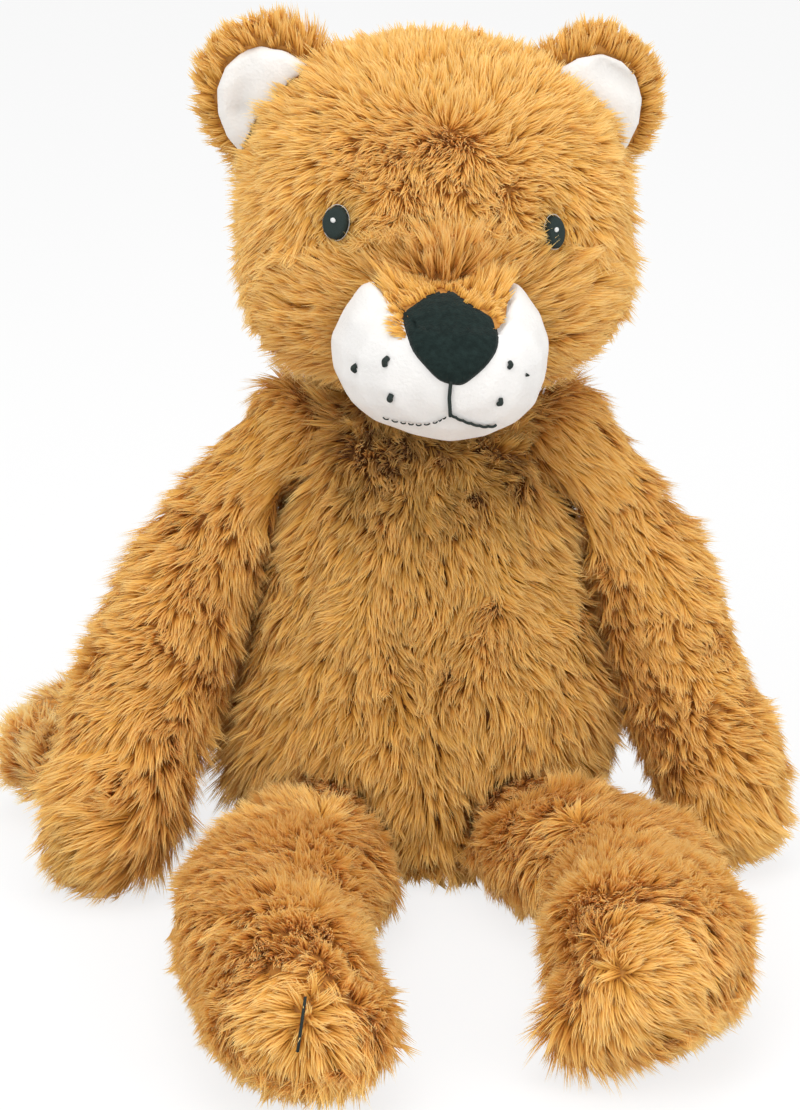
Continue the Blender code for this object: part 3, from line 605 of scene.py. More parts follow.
def finishSkin(skin, material, body, nodes):
    skin.data.materials.append(material)
    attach(skin, body)
    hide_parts(*nodes)


# Torso
torso = {
    "nodes": ("torso_front", "torso_back", "torso_stuffing", "pellet_bag"),
    "form": {"voxel": 0.0024, "inset": 0.004, "smooth": 10},
    # The torso's low tone is painted shade under the head, and the chest is painted darker still as shade
    "lean": 0.9, "chestLean": 0.62, "collarLean": 0.4, "tone": 0.46, "chestShade": 0.17, "chestSpeckle": 0.17,
    "whorls": (((-0.0247, -0.0464, 0.0974), 0.022, 1.0), ((0.0282, -0.0449, 0.0983), 0.022, 1.0)),
    "longer": (((0.008, -0.044, 0.006), 0.018, 0.75), ((-0.062, -0.022, 0.042), 0.022, 1.1),
               ((-0.068, 0.005, 0.03), 0.02, 0.9), ((0.064, -0.02, 0.06), 0.018, 0.8),
               ((0.038, -0.005, 0.166), 0.016, 2.1), ((-0.038, -0.005, 0.166), 0.016, 2.0),
               ((0.049, -0.026, 0.136), 0.016, 1.1), ((-0.048, -0.026, 0.138), 0.016, 1.1)),
    "dents": (((-0.064, -0.012, 0.036), 0.02, (-0.0045, 0.0, -0.002)),
              ((0.064, -0.01, 0.048), 0.018, (0.003, 0.0, -0.0015)),
              ((0.0, -0.036, 0.006), 0.022, (0.0, -0.006, 0.0)),
              ((0.019, -0.04, 0.005), 0.013, (0.0, -0.0045, 0.0))),
    "fur": {"tousle": 0.5, "seed": 3, "split": 0.0},
}
torsoSkin = formOf("torsoSkin", torso["nodes"], **torso["form"])
armTrees = []
for side in ("left", "right"):
    nodes = [side + "_arm_" + piece for piece in ("front", "back", "stuffing")]
    form = formOf("armForm", nodes, 0.003, 0.0, 4)
    armTrees.append(treeOf(form))
    bpy.data.objects.remove(form, do_unlink=True)
places, normals = moved(torsoSkin, *vertexArrays(torsoSkin), torso["dents"])
torsoPlaces = places.copy()
x, y, z = places.T
outward = places * np.array((1.0, 0.6, 0.0))
base = downwards + unit(outward) * (0.3 + 0.9 * ramp(z, 0.09, 0.16))[:, None]
base[:, 1] -= 1.6 * fall(z, 0.004, 0.03) * ramp(-y, 0.0, 0.02)
collar = ramp(z, 0.15, 0.165) * ramp(np.abs(x), 0.018, 0.03)
base[:, 2] += 1.7 * collar
comb = combOf(places, normals, base, torso["whorls"])
chest = ramp(z, 0.116, 0.142) * ramp(-y, 0.0, 0.025) * fall(np.abs(x - 0.004), 0.026, 0.042)
outsideLeft, outsideRight = (outsideOf(tree, places, -0.004, 0.001) for tree in armTrees)
insideArm = 1.0 - outsideLeft * outsideRight
cover = (1.0 - 0.2 * insideArm) * ramp(z, 0.001, 0.004) * fall(z, 0.172, 0.177)
cover = cover * (1.0 + 0.3 * chest) * whorlCover(places, torso["whorls"])
pile = (1.05 - 0.2 * chest) * (1.0 - 0.15 * insideArm) * patches(places, torso["longer"])
draws = np.random.default_rng(torso["fur"]["seed"])
speckle = draws.normal(0.0, torso["chestSpeckle"], len(places)) * chest
lean = torso["lean"] - torso["chestLean"] * chest - torso["collarLean"] * collar
# Painted shade: the chest's pile is darker, with a random speckle
describePile(torsoSkin, comb, lean, pile, cover, torso["tone"] - torso["chestShade"] * chest + speckle)
growHalves("torsoFur", torsoSkin, "torso", furPile, torso["fur"], places)
finishSkin(torsoSkin, torsoShadeBacking, "torso", torso["nodes"])
print("torso done")

# Neck
neck = {
    "nodes": ("neck_stuffing",), "form": {"voxel": 0.002, "inset": 0.003, "smooth": 4},
    # The neck's low tone is painted shade between the head and the torso
    "top": 0.186, "lean": 0.5, "tone": 0.42,
    "fur": {"density": 400000.0, "length": 1.5, "tousle": 0.35, "seed": 5},
}
neckSkin = formOf("neckSkin", neck["nodes"], **neck["form"])
places, normals = vertexArrays(neckSkin)
comb = combOf(places, normals, downwards)
cover = fall(np.abs(normals[:, 2]), 0.5, 0.8) * fall(places[:, 2], neck["top"] - 0.003, neck["top"])
describePile(neckSkin, comb, neck["lean"], 1.0, cover, neck["tone"])
growFur("neckFur", neckSkin, "neck", furPile, neck["fur"])
finishSkin(neckSkin, furBacking, "neck", neck["nodes"])

# Muzzle form, of which the head's pile keeps clear
muzzle = {
    "nodes": ("muzzle_left", "muzzle_right", "chin", "muzzle_stuffing"),
    "form": {"voxel": 0.0013, "inset": 0.0004, "smooth": 8},
    "widen": 0.003, "bridgeSunk": 0.0022, "noseMiddle": (0.006, -0.092, 0.207),
    "corners": (((-0.016, -0.066, 0.2165), 0.011, (-0.0034, 0.0, 0.0042)),
                ((0.0285, -0.063, 0.215), 0.01, (0.0002, 0.0, 0.0043)),
                ((-0.0268, -0.0605, 0.201), 0.012, (-0.002, 0.0, -0.0004)),
                ((0.0406, -0.0692, 0.1884), 0.01, (-0.0014, 0.0, 0.0)),
                ((0.0081, -0.0832, 0.1722), 0.012, (-0.0004, 0.0, -0.0012))),
}
intoHead = np.array(headTurned.inverted())


def inHead(places):
    return places @ intoHead[:3, :3].T + intoHead[:3, 3]


muzzleSkin = formOf("muzzleSkin", muzzle["nodes"] + ("nose_bridge",), **muzzle["form"])
places, normals = vertexArrays(muzzleSkin)
local = inHead(places)
toBridge, toLeft, toRight = (distanceTo(treeOf(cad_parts[node]), places)
                             for node in ("nose_bridge", "muzzle_left", "muzzle_right"))
onBridge = ramp(np.minimum(toLeft, toRight) - toBridge, -0.0004, 0.0006)
places[:, 0] -= muzzle["widen"] * ramp(-local[:, 0], 0.012, 0.028)
places -= normals * (muzzle["bridgeSunk"] * onBridge)[:, None]
muzzlePlaces, muzzleNormals = moved(muzzleSkin, places, normals, muzzle["corners"])
muzzleTree = treeOf(muzzleSkin)
finishSkin(muzzleSkin, whitePlush, "head", muzzle["nodes"])

# Head
head = {
    "nodes": ("head_gusset", "head_left", "head_right", "head_stuffing"),
    "form": {"voxel": 0.0024, "inset": 0.0042, "smooth": 10},
    "lean": 0.95, "tone": 0.57, "cheekLight": 0.18, "valleyLight": 0.3,
    "parting": (0.0082, -0.05, 0.269), "muzzleRoot": (0.0075, -0.055, 0.201),
    "longer": (((0.056, -0.01, 0.225), 0.022, 0.5), ((-0.056, -0.022, 0.189), 0.012, -0.2),
               ((0.06, -0.019, 0.186), 0.013, -0.35), ((-0.055, -0.012, 0.25), 0.01, 0.75),
               ((-0.041, -0.01, 0.272), 0.01, 0.65), ((-0.035, -0.006, 0.274), 0.013, 0.6),
               ((0.036, 0.0, 0.268), 0.014, 0.15),
               ((-0.04, -0.022, 0.26), 0.013, 0.4), ((0.048, -0.018, 0.257), 0.014, 0.05),
               ((0.0075, -0.058, 0.227), 0.01, 0.8), ((0.004, 0.0, 0.288), 0.03, -0.12),
               ((-0.041, -0.02, 0.179), 0.014, 0.9), ((0.043, -0.018, 0.177), 0.014, 0.75)),
    "aboveNose": (0.0075, -0.057, 0.224), "dents": (((0.0055, -0.058, 0.2215), 0.009, 0.0042),),
    "fur": {"density": 330000.0, "tousle": 0.44, "clump": 0.009, "seed": 11, "split": 0.004},
}
eyes = {
    "left": {"out": 0.0334, "height": 0.235, "halfWidth": 0.0034, "halfHeight": 0.0057, "slope": -0.1},
    "right": {"out": -0.0365, "height": 0.2366, "halfWidth": 0.004, "halfHeight": 0.0058, "slope": 0.08},
}
headSkin = formOf("headSkin", head["nodes"], **head["form"])
places, normals = moved(headSkin, *vertexArrays(headSkin), head["dents"])
local = inHead(places)
aside, height = np.abs(local[:, 0]), local[:, 2]
fromParting = (places - np.array(head["parting"])) * np.array((0.45, 1.0, 1.0))
fromMuzzle = places - np.array(head["muzzleRoot"])
spread = fromMuzzle * np.array((0.55, 0.8, 1.0))
spread[:, 2] *= np.where(spread[:, 2] > 0.0, 1.15, 0.6)
onFace = ramp(-normals[:, 1], -0.2, 0.3)
muzzleNear = fall(lengthOf(spread), 0.034, 0.043) * onFace
flow = unit(fromParting) * (1.0 - muzzleNear[:, None]) + unit(fromMuzzle) * muzzleNear[:, None] * 1.3
comb = combOf(places, normals, flow)
partingNear = np.exp(-(lengthOf(fromParting) / 0.012) ** 2)
brow = (1.0 - muzzleNear) * onFace * fall(height, 0.258, 0.272) * fall(aside, 0.026, 0.04)
lean = head["lean"] - 0.52 * brow - 0.45 * partingNear + 0.25 * muzzleNear
# The pile stops at the white muzzle and the eyes
cover = ramp(oval(local[:, 0], height - 0.195, 0.031, 0.0235), 1.15, 1.35)
cover = np.maximum(outsideOf(muzzleTree, places, -0.0004, 0.0008), cover)
cover = np.where(local[:, 1] < -0.02, cover, 1.0)
pile = (1.0 + 0.1 * muzzleNear - 0.22 * brow) * patches(places, head["longer"])
# The cheeks and the hollow above the nose are painted lighter, as painted light where their shading falls dark
valley = nearTo(places, head["aboveNose"], 0.01)
cheeks = ramp(aside, 0.028, 0.044) * fall(height, 0.235, 0.262)
tone = head["tone"] + head["cheekLight"] * cheeks + head["valleyLight"] * valley
cover = cover * (1.0 + 0.6 * valley) * (1.0 + 0.6 * partingNear + 0.15 * brow)
for eye in eyes.values():
    up = height - eye["height"]
    offset = oval(local[:, 0] - eye["out"] - up * eye["slope"], up, eye["halfWidth"], eye["halfHeight"])
    offset = np.where(local[:, 1] < 0.0, offset, farAway)
    cover = cover * ramp(offset, 0.8, 1.15)
    pile = pile * (0.48 + 0.52 * ramp(offset, 1.2, 6.0))
    tone = tone - 0.14 * fall(offset, 2.0, 10.0)
    lean = lean + 0.5 * fall(offset, 2.0, 6.0)
cover = cover * ramp(lengthOf(places - np.array(headPose["pivot"])), 0.036, 0.04)
describePile(headSkin, comb, lean, pile, cover, tone)
growHalves("headFur", headSkin, "head", furPile, head["fur"], places)
finishSkin(headSkin, furBacking, "head", head["nodes"])
headTree = treeOf(headSkin)
print("head done")


def facePoint(tree, x, z, out):
    start = headTurned @ Vector((x, -0.16, z))
    heading = headTurned.to_3x3() @ Vector((0.0, 1.0, 0.0))
    spot, normal, _, _ = tree.ray_cast(start, heading)
    if spot is None:
        spot, normal, _, _ = tree.find_nearest(headTurned @ Vector((x, -0.07, z)))
    return spot + normal * out


def puffedPad(name, tree, centre, outline, rings, height, crown, material):
    # A closed pad whose top stands off the face and rounds over at its edge
    bm = bmesh.new()
    middle = Vector(centre)
    rows = []
    for ring in range(rings + 1):
        r = ring / rings
        row = []
        for x, z in outline:
            spot = (middle.x + (x - middle.x) * max(r, 0.001), middle.y + (z - middle.y) * max(r, 0.001))
            lift = height * (1.0 - r ** crown) ** 0.5
            row.append(bm.verts.new(facePoint(tree, spot[0], spot[1], lift)))
        rows.append(row)
    count = len(outline)
    for inner, outer in zip(rows, rows[1:]):
        for i in range(count):
            bm.faces.new((inner[i], outer[i], outer[(i + 1) % count], inner[(i + 1) % count]))
    bm.faces.new(rows[0])
    bm.faces.new(rows[-1])
    bmesh.ops.remove_doubles(bm, verts=bm.verts, dist=0.00002)
    bmesh.ops.recalc_face_normals(bm, faces=bm.faces)
    mesh = bpy.data.meshes.new(name)
    bm.to_mesh(mesh)
    bm.free()
    mesh.materials.append(material)
    mesh.shade_smooth()
    return addObject(name, mesh)


def rounded(points, steps):
    result = []
    count = len(points)
    for i in range(count):
        p0, p1, p2, p3 = (Vector(points[(i + k) % count]) for k in (-1, 0, 1, 2))
        for step in range(steps):
            t = step / steps
            spot = 0.5 * ((2 * p1) + (p2 - p0) * t + (2 * p0 - 5 * p1 + 4 * p2 - p3) * t * t
                          + (3 * p1 - p0 - 3 * p2 + p3) * t ** 3)
            result.append((spot.x, spot.y))
    return result


def stitch(name, points, radius, material, body, node):
    curve = bpy.data.curves.new(name, 'CURVE')
    curve.dimensions = '3D'
    curve.bevel_depth = radius
    curve.bevel_resolution = 3
    curve.use_fill_caps = True
    spline = curve.splines.new('NURBS')
    spline.points.add(len(points) - 1)
    for point, place in zip(spline.points, points):
        point.co = (*place, 1.0)
    spline.use_endpoint_u = True
    spline.order_u = 3
    obj = applied(name, addObject(name + "Curve", curve))
    obj.data.materials.append(material)
    obj.data.shade_smooth()
    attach(obj, body)
    if node:
        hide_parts(node)
    return obj


# Nose
nose = {
    "halfWidth": 0.0152, "height": 0.0245, "middle": (-0.0025, 0.207), "thickness": 0.0026,
    "shares": ((0.09, 0.5), (0.44, 0.4), (0.81, 0.3), (0.97, 0.23), (1.01, 0.08), (0.94, -0.09), (0.69, -0.27),
               (0.4, -0.42), (0.22, -0.485), (0.03, -0.485), (-0.25, -0.44), (-0.53, -0.29), (-0.81, -0.1),
               (-0.94, 0.11), (-0.98, 0.25), (-0.8, 0.33), (-0.53, 0.42), (-0.17, 0.5)),
}
noseX, noseZ = nose["middle"]
shield = [(noseX + x * nose["halfWidth"], noseZ + z * nose["height"]) for x, z in nose["shares"]]
noseOutline = rounded(shield, 3)
nosePad = puffedPad("nosePad", muzzleTree, nose["middle"], noseOutline, 10, nose["thickness"], 5.0, noseFleece)
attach(nosePad, "head")
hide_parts("nose")

# Pile over the nose and beside it
bridge = {
    "nodes": ("nose_bridge",), "form": {"voxel": 0.0012, "inset": 0.001, "smooth": 4}, "tone": 0.58,
    "wedge": [(-0.0205, 0.219), (-0.014, 0.219), (-0.013, 0.21), (-0.014, 0.2078), (-0.018, 0.2083),
              (-0.02, 0.2108)],
    "fur": {"density": 520000.0, "length": 0.9, "width": 0.9, "tousle": 0.28, "clump": 0.008, "seed": 21},
    "besideFur": {"density": 900000.0, "length": 0.52, "width": 0.8, "tousle": 0.22, "clump": 0.008, "seed": 22},
}


def awayFromNose(places, normals):
    return combOf(places, normals, unit(places - np.array(muzzle["noseMiddle"])))


bridgeSkin = formOf("bridgeSkin", bridge["nodes"], **bridge["form"])
places, normals = moved(bridgeSkin, *vertexArrays(bridgeSkin), muzzle["corners"])
skyward = ramp(0.8 * normals[:, 2] - 0.6 * normals[:, 1] + 0.2 * np.abs(normals[:, 0]), -0.15, 0.15)
local = inHead(places)[:, [0, 2]]
toNose = outlineDistance(local, noseOutline)
toRight = ramp(local[:, 0], 0.0125, 0.0145) * fall(local[:, 1], 0.216, 0.219)
cover = skyward * ramp(toNose, -0.0001, 0.0003) * (1.0 - toRight)
pile = (0.55 + 1.35 * ramp(toNose, 0.0005, 0.008)) * (1.0 - 0.35 * ramp(local[:, 0], 0.009, 0.013))
lean = 1.5 - 0.7 * ramp(toNose, 0.003, 0.009)
describePile(bridgeSkin, awayFromNose(places, normals), lean, pile, cover, bridge["tone"])
growFur("bridgeFur", bridgeSkin, "head", furPile, bridge["fur"])
local = inHead(muzzlePlaces)
beside = ramp(-outlineDistance(local[:, [0, 2]], bridge["wedge"]), -0.0003, 0.0003)
beside = beside * ramp(outlineDistance(local[:, [0, 2]], noseOutline), -0.0001, 0.0003) * (local[:, 1] < -0.04)
describePile(muzzleSkin, awayFromNose(muzzlePlaces, muzzleNormals), 1.7, 1.0, beside, bridge["tone"])
growFur("besideNoseFur", muzzleSkin, "head", furPile, bridge["besideFur"])
bridgeSkin.data.materials.append(furBacking)
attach(bridgeSkin, "head")
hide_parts("nose_bridge")

# Eyes, each a satin-stitched oval with a pale edge and highlight
for side, eye in eyes.items():
    turns = [2.0 * pi * i / 40 for i in range(40)]
    middle = (eye["out"], eye["height"])
    ring = []
    for turn in turns:
        rise = eye["halfHeight"] * sin(turn)
        ring.append((middle[0] + eye["halfWidth"] * cos(turn) + rise * eye["slope"], middle[1] + rise))
    lift = head["form"]["inset"] + 0.0004
    pad = puffedPad(side + "Eye", headTree, middle, ring, 8, lift, 9.0, eyeThread)
    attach(pad, "head")
    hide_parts(side + "_eye")
    rim = [facePoint(headTree, x, z, lift * 0.45) for x, z in ring]
    stitch(side + "EyeRim", rim + rim[:1], 0.00011, paleThread, "head", None)
    spot = (middle[0] - 0.0004, middle[1] + 0.0009)
    ring = [(spot[0] + 0.0012 * cos(turn), spot[1] + 0.0013 * sin(turn)) for turn in turns[::2]]
    glint = puffedPad(side + "EyeHighlight", headTree, spot, ring, 4, lift + 0.0005, 4.0, paleThread)
    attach(glint, "head")
    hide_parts(side + "_eye_highlight")

# Whisker marks and mouth, from their places in the photograph
marks = {
    "left_whisker_stitch_1": (0.0321, -0.0887, 0.1953, 0.00035),
    "left_whisker_stitch_2": (0.0265, -0.0927, 0.1997, 0.00095),
    "left_whisker_stitch_3": (0.0234, -0.0943, 0.1878, 0.001),
    "right_whisker_stitch_1": (-0.0199, -0.083, 0.1964, 0.00105),
    "right_whisker_stitch_2": (-0.0125, -0.0919, 0.2005, 0.0012),
    "right_whisker_stitch_3": (-0.0116, -0.0933, 0.1892, 0.00115),
}
mouth = {
    "lip": ((0.0075, -0.1021, 0.197), (0.007, -0.1005, 0.1905), (0.0074, -0.0965, 0.1845)),
    "right": ((0.0073, -0.097, 0.1848), (0.01, -0.0955, 0.1828), (0.014, -0.0936, 0.1806), (0.018, -0.091, 0.1793),
              (0.0222, -0.0885, 0.1786)),
    "left": ((0.006, -0.0957, 0.1835), (0.003, -0.0945, 0.1812), (-0.003, -0.0915, 0.1797),
             (-0.0085, -0.0885, 0.18), (-0.0145, -0.085, 0.1815)),
    "dashes": (("right", 6, 1.1, 0.00046), ("left", 9, 0.66, 0.00024)),
}


def onMuzzle(place, out):
    spot, normal, _, _ = muzzleTree.find_nearest(Vector(place))
    return spot + normal * out


def alongPath(points, share):
    places = [Vector(point) for point in points]
    whole = share * (len(places) - 1)
    index = min(int(whole), len(places) - 2)
    return places[index].lerp(places[index + 1], whole - index)


for node, (x, y, z, size) in marks.items():
    side, _, _, index = node.split("_")
    run = []
    for step in (-1.3, -0.9, 0.0, 0.9, 1.3):
        run.append(onMuzzle((x - 0.25 * size * step, y, z - 0.75 * size * step), 0.0014 - 0.001 * abs(step)))
    stitch("%sWhisker%s" % (side, index), run, size * 0.8, darkThread, "head", node)
lip = [onMuzzle(alongPath(mouth["lip"], step / 8), 0.0011) for step in range(9)]
stitch("lipThread", lip, 0.0006, darkThread, "head", "mouth_stitching")
for name, count, fullness, radius in mouth["dashes"]:
    sunk = 0.4 * (0.0006 - radius)
    for dash in range(count):
        run = []
        for step, out in ((0.0, 0.0006), (0.25, 0.001), (0.75, 0.001), (1.0, 0.0006)):
            share = min((dash + fullness * step) / count, 1.0)
            run.append(onMuzzle(alongPath(mouth[name], share), out - sunk))
        stitch("%sSmile%d" % (name, dash + 1), run, radius, darkThread, "head", None)
print("face done")

# Ears, grown a little towards the head from their tips
ears = {
    "left": {"root": (0.050507, 0.008122, 0.254363), "grow": 1.15, "shift": (-0.0037, 0.0, -0.0016),
             "fold": ((0.06, -0.001, 0.2795), (0.075, 0.001, 0.271)),
             "longer": (((0.077, 0.012, 0.29), 0.015, -0.4),)},
    "right": {"root": (-0.043662, -0.000122, 0.257651), "grow": 1.13, "shift": (-0.0008, 0.0, -0.0014),
              "fold": ((-0.0585, -0.008, 0.287), (-0.0615, -0.009, 0.267)),
              "longer": (((-0.064, 0.0, 0.295), 0.01, -0.2), ((-0.04, -0.002, 0.292), 0.01, 0.5))},
    "form": {"voxel": 0.0013, "inset": 0.002, "smooth": 5}, "lean": 1.0, "tone": 0.6,
    "liningForm": {"voxel": 0.0007, "inset": 0.0, "smooth": 3}, "liningShift": (-0.0004, 0.0, 0.0016),
    "foldDepth": 0.004, "foldReach": 0.0042, "foldShade": 0.45,
    "fur": {"density": 400000.0, "length": 0.8, "width": 0.9, "tousle": 0.4, "clump": 0.008, "seed": 31},
}
for side in ("left", "right"):
    ear = ears[side]
    root = np.array(ear["root"])
    skin = formOf(side + "EarSkin", (side + "_ear_back",), **ears["form"])
    lining = formOf(side + "EarLining", (side + "_ear_lining",), **ears["liningForm"])
    places, _ = vertexArrays(skin)
    tip = places[np.argmax(lengthOf(places - root))]
    for form in (skin, lining):
        places, _ = vertexArrays(form)
        movePoints(form, tip + (places - tip) * ear["grow"] + np.array(ear["shift"]))
    # The lining dips along its fold
    places, _ = vertexArrays(lining)
    places = places + np.array(ears["liningShift"])
    fold = creaseNear(places, ear["fold"], ears["foldReach"])
    places[:, 1] += ears["foldDepth"] * fold
    movePoints(lining, places)
    store(lining, "shade", ears["foldShade"] * fold)
    hull = hullOf(places[:, [0, 2]], 48)
    places, normals = vertexArrays(skin)
    pastLining = ramp(outlineDistance(places[:, [0, 2]], hull), -0.0006, 0.0002)
    cover = np.maximum(pastLining, ramp(normals[:, 1], 0.2, 0.4))
    comb = combOf(places, normals, unit(places - root))
    describePile(skin, comb, ears["lean"], patches(places, ear["longer"]), cover, ears["tone"])
    growFur(side + "EarFur", skin, side + "_ear", furPile, ears["fur"])
    finishSkin(skin, furBacking, side + "_ear", (side + "_ear_back",))
    lining.data.materials.append(earPlush)
    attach(lining, side + "_ear")
    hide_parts(side + "_ear_lining")
print("ears done")

# Arms and legs
limbFur = {"density": 310000.0, "tousle": 0.52, "clump": 0.011}
limbForm = {"voxel": 0.0022, "inset": 0.0041, "smooth": 10}
limbKinds = {
    # The arms keep more of their pile in the armpits
    "arm": {"parts": ("front", "back", "stuffing"), "toes": (1, 2), "lean": 0.9, "tone": 0.6, "clear": (0.4, 0.62)},
    # The legs' higher tone is painted light on their upward faces
    "leg": {"parts": ("upper", "lower", "stuffing"), "toes": (1, 2, 3), "lean": 0.75, "tone": 0.74,
            "clear": (0.66, 0.9)},
}
toeStitches = {
    "shown": "right_leg_toe_stitch_2", "sunk": 0.0012, "hidden": 0.0015, "shorten": 0.78, "slope": 0.15,
    "bare": (0.0024, 0.0044),
}
# A groove has shorter, denser pile, and is painted darker there as shade
groove = {"reach": 0.0045, "shorter": 0.45, "denser": 0.35, "creaseShade": 0.3}
limbs = {
    "leftArm": {
        "body": "left_arm", "root": (0.046, 0.002, 0.146), "tip": (0.105, -0.03, 0.024), "seed": 51,
        "whorls": (), "crease": (),
        "dents": (((0.1121, -0.0203, 0.068), 0.016, (-0.0034, 0.0, -0.0004)),
                  ((0.1222, -0.03, 0.05), 0.014, (0.0036, 0.0, 0.0011)),
                  ((0.051, 0.006, 0.163), 0.016, (0.0022, 0.0, 0.005)),
                  ((0.0668, -0.0035, 0.1524), 0.012, (0.001, 0.0, 0.0012)),
                  ((0.1075, -0.0028, 0.0921), 0.014, (-0.0015, 0.0, -0.0004))),
        "longer": (((0.085, -0.008, 0.125), 0.022, 0.3), ((0.05, -0.02, 0.136), 0.014, 0.6),
                   ((0.044, 0.004, 0.166), 0.014, 0.5), ((0.112, -0.022, 0.084), 0.022, -0.4),
                   ((0.122, -0.045, 0.03), 0.022, 0.3)),
    },
    "rightArm": {
        "body": "right_arm", "root": (-0.046, 0.002, 0.146), "tip": (-0.11, -0.049, 0.024), "seed": 52,
        "whorls": (), "crease": ((-0.119, -0.062, 0.03), (-0.116, -0.068, 0.012)),
        "dents": (((-0.0905, -0.058, 0.028), 0.018, 0.003),
                  ((-0.043, 0.006, 0.164), 0.016, (-0.004, 0.0, 0.0062)),
                  ((-0.066, 0.0131, 0.1478), 0.012, (-0.0008, 0.0, 0.0012)),
                  ((-0.1211, -0.0204, 0.07), 0.016, (-0.002, 0.0, 0.001)),
                  ((-0.1336, -0.0509, 0.0182), 0.014, (0.0032, 0.0, 0.0))),
        "longer": (((-0.096, -0.017, 0.117), 0.022, 0.7), ((-0.05, -0.02, 0.136), 0.014, 0.6),
                   ((-0.043, 0.004, 0.166), 0.014, 0.5), ((-0.128, -0.055, 0.034), 0.018, 0.7),
                   ((-0.088, -0.054, 0.036), 0.024, 0.8), ((-0.105, -0.065, 0.01), 0.024, 0.5)),
    },
    "leftLeg": {
        "body": "left_leg", "root": (0.035, -0.044, 0.0215), "tip": (0.063, -0.186, 0.032), "seed": 53,
        "whorls": (((0.0533, -0.0996, 0.0474), 0.026, 1.2), ((0.06, -0.211, 0.04), 0.026, 1.0)),
        "dents": (((0.0369, -0.2, 0.044), 0.014, -0.008), ((0.04, -0.204, 0.017), 0.013, 0.004),
                  ((0.093, -0.121, 0.046), 0.02, -0.003),
                  ((0.0186, -0.0505, 0.008), 0.014, (-0.0015, -0.004, -0.001)),
                  ((0.024, -0.074, 0.012), 0.016, (-0.002, 0.0, -0.0025)),
                  ((0.0315, -0.188, 0.033), 0.014, (0.0084, 0.0, 0.0)),
                  ((0.0965, -0.18, 0.0216), 0.014, (0.006, 0.0, -0.0005)),
                  ((0.085, -0.199, 0.0135), 0.013, (-0.0014, 0.0, 0.003)),
                  ((0.106, -0.12, 0.025), 0.018, (-0.0078, 0.0, -0.0034)),
                  ((0.074, -0.07, 0.044), 0.018, (0.0, 0.0, -0.0038)),
                  ((0.065, -0.088, 0.049), 0.016, (0.0, 0.0, -0.0026)),
                  ((0.0572, -0.2071, 0.008), 0.014, (0.0, 0.0, 0.0018)),
                  ((0.035, -0.105, 0.015), 0.016, (-0.0018, 0.0, -0.0016))),
        "crease": ((0.0375, -0.203, 0.0418), (0.0456, -0.2101, 0.0464), (0.0587, -0.2109, 0.0523),
                   (0.0665, -0.2117, 0.051)),
        "longer": (((0.037, -0.2, 0.044), 0.013, -0.5), ((0.0403, -0.2029, 0.015), 0.014, 0.8),
                   ((0.06, -0.209, 0.011), 0.016, 0.4), ((0.0889, -0.2033, 0.025), 0.018, 0.4),
                   ((0.093, -0.121, 0.046), 0.024, -0.45)),
    },
    "rightLeg": {
        "body": "right_leg", "root": (-0.035, -0.044, 0.0215), "tip": (-0.038, -0.209, 0.03), "seed": 54,
        "whorls": (((-0.0362, -0.0865, 0.042), 0.028, 1.2), ((-0.037, -0.2385, 0.038), 0.02, 1.1)),
        "dents": (((-0.018, -0.215, 0.05), 0.014, -0.0085), ((-0.018, -0.229, 0.024), 0.013, 0.0035),
                  ((-0.0154, -0.0869, 0.0194), 0.018, (0.0082, 0.0, -0.006)),
                  ((-0.0188, -0.115, 0.0216), 0.014, (0.0025, 0.0, -0.0015)),
                  ((-0.015, -0.195, 0.038), 0.018, (-0.004, 0.0, 0.0)),
                  ((-0.0224, -0.223, 0.0083), 0.012, (-0.001, 0.0, 0.002)),
                  ((-0.0104, -0.2006, 0.0214), 0.012, (0.0034, 0.0, 0.0008)),
                  ((-0.0138, -0.2201, 0.0154), 0.01, (0.0018, 0.0, -0.0008)),
                  ((-0.0659, -0.2158, 0.0216), 0.012, (-0.002, 0.0, -0.0014)),
                  ((-0.062, -0.06, 0.035), 0.018, (-0.003, 0.0, 0.0))),
        "crease": ((-0.0475, -0.2204, 0.055), (-0.0404, -0.2269, 0.0527), (-0.03, -0.2308, 0.048),
                   (-0.0182, -0.2225, 0.0465)),
        "longer": (((-0.0177, -0.217, 0.05), 0.013, -0.5), ((-0.017, -0.228, 0.025), 0.014, 0.6),
                   ((-0.0198, -0.1269, 0.0287), 0.022, 0.3),
                   ((-0.024, -0.231, 0.016), 0.013, 0.5), ((-0.082, -0.15, 0.03), 0.022, -0.15)),
    },
}


def toeStitch(name, node, body, skinTree):
    # Only one stitch shows, and the others lie under the backing
    shown = node == toeStitches["shown"]
    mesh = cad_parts[node].data.copy()
    bm = bmesh.new()
    bm.from_mesh(mesh)
    bmesh.ops.remove_doubles(bm, verts=bm.verts, dist=0.00001)
    for vert in bm.verts:
        spot, normal, _, _ = skinTree.find_nearest(vert.co)
        if shown:
            vert.co = vert.co - normal * toeStitches["sunk"]
        else:
            vert.co = spot.lerp(vert.co, 0.1) - normal * toeStitches["hidden"]
    if shown:
        middle = sum((vert.co for vert in bm.verts), Vector()) / len(bm.verts)
        for vert in bm.verts:
            vert.co = middle + (vert.co - middle) * toeStitches["shorten"]
            vert.co.x += (vert.co.z - middle.z) * toeStitches["slope"]
    bm.to_mesh(mesh)
    thread = np.array([vert.co for vert in bm.verts])
    bm.free()
    piece = addObject(name, mesh)
    mesh.materials.clear()
    mesh.materials.append(darkThread)
    mesh.shade_smooth()
    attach(piece, body)
    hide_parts(node)
    return thread if shown else None


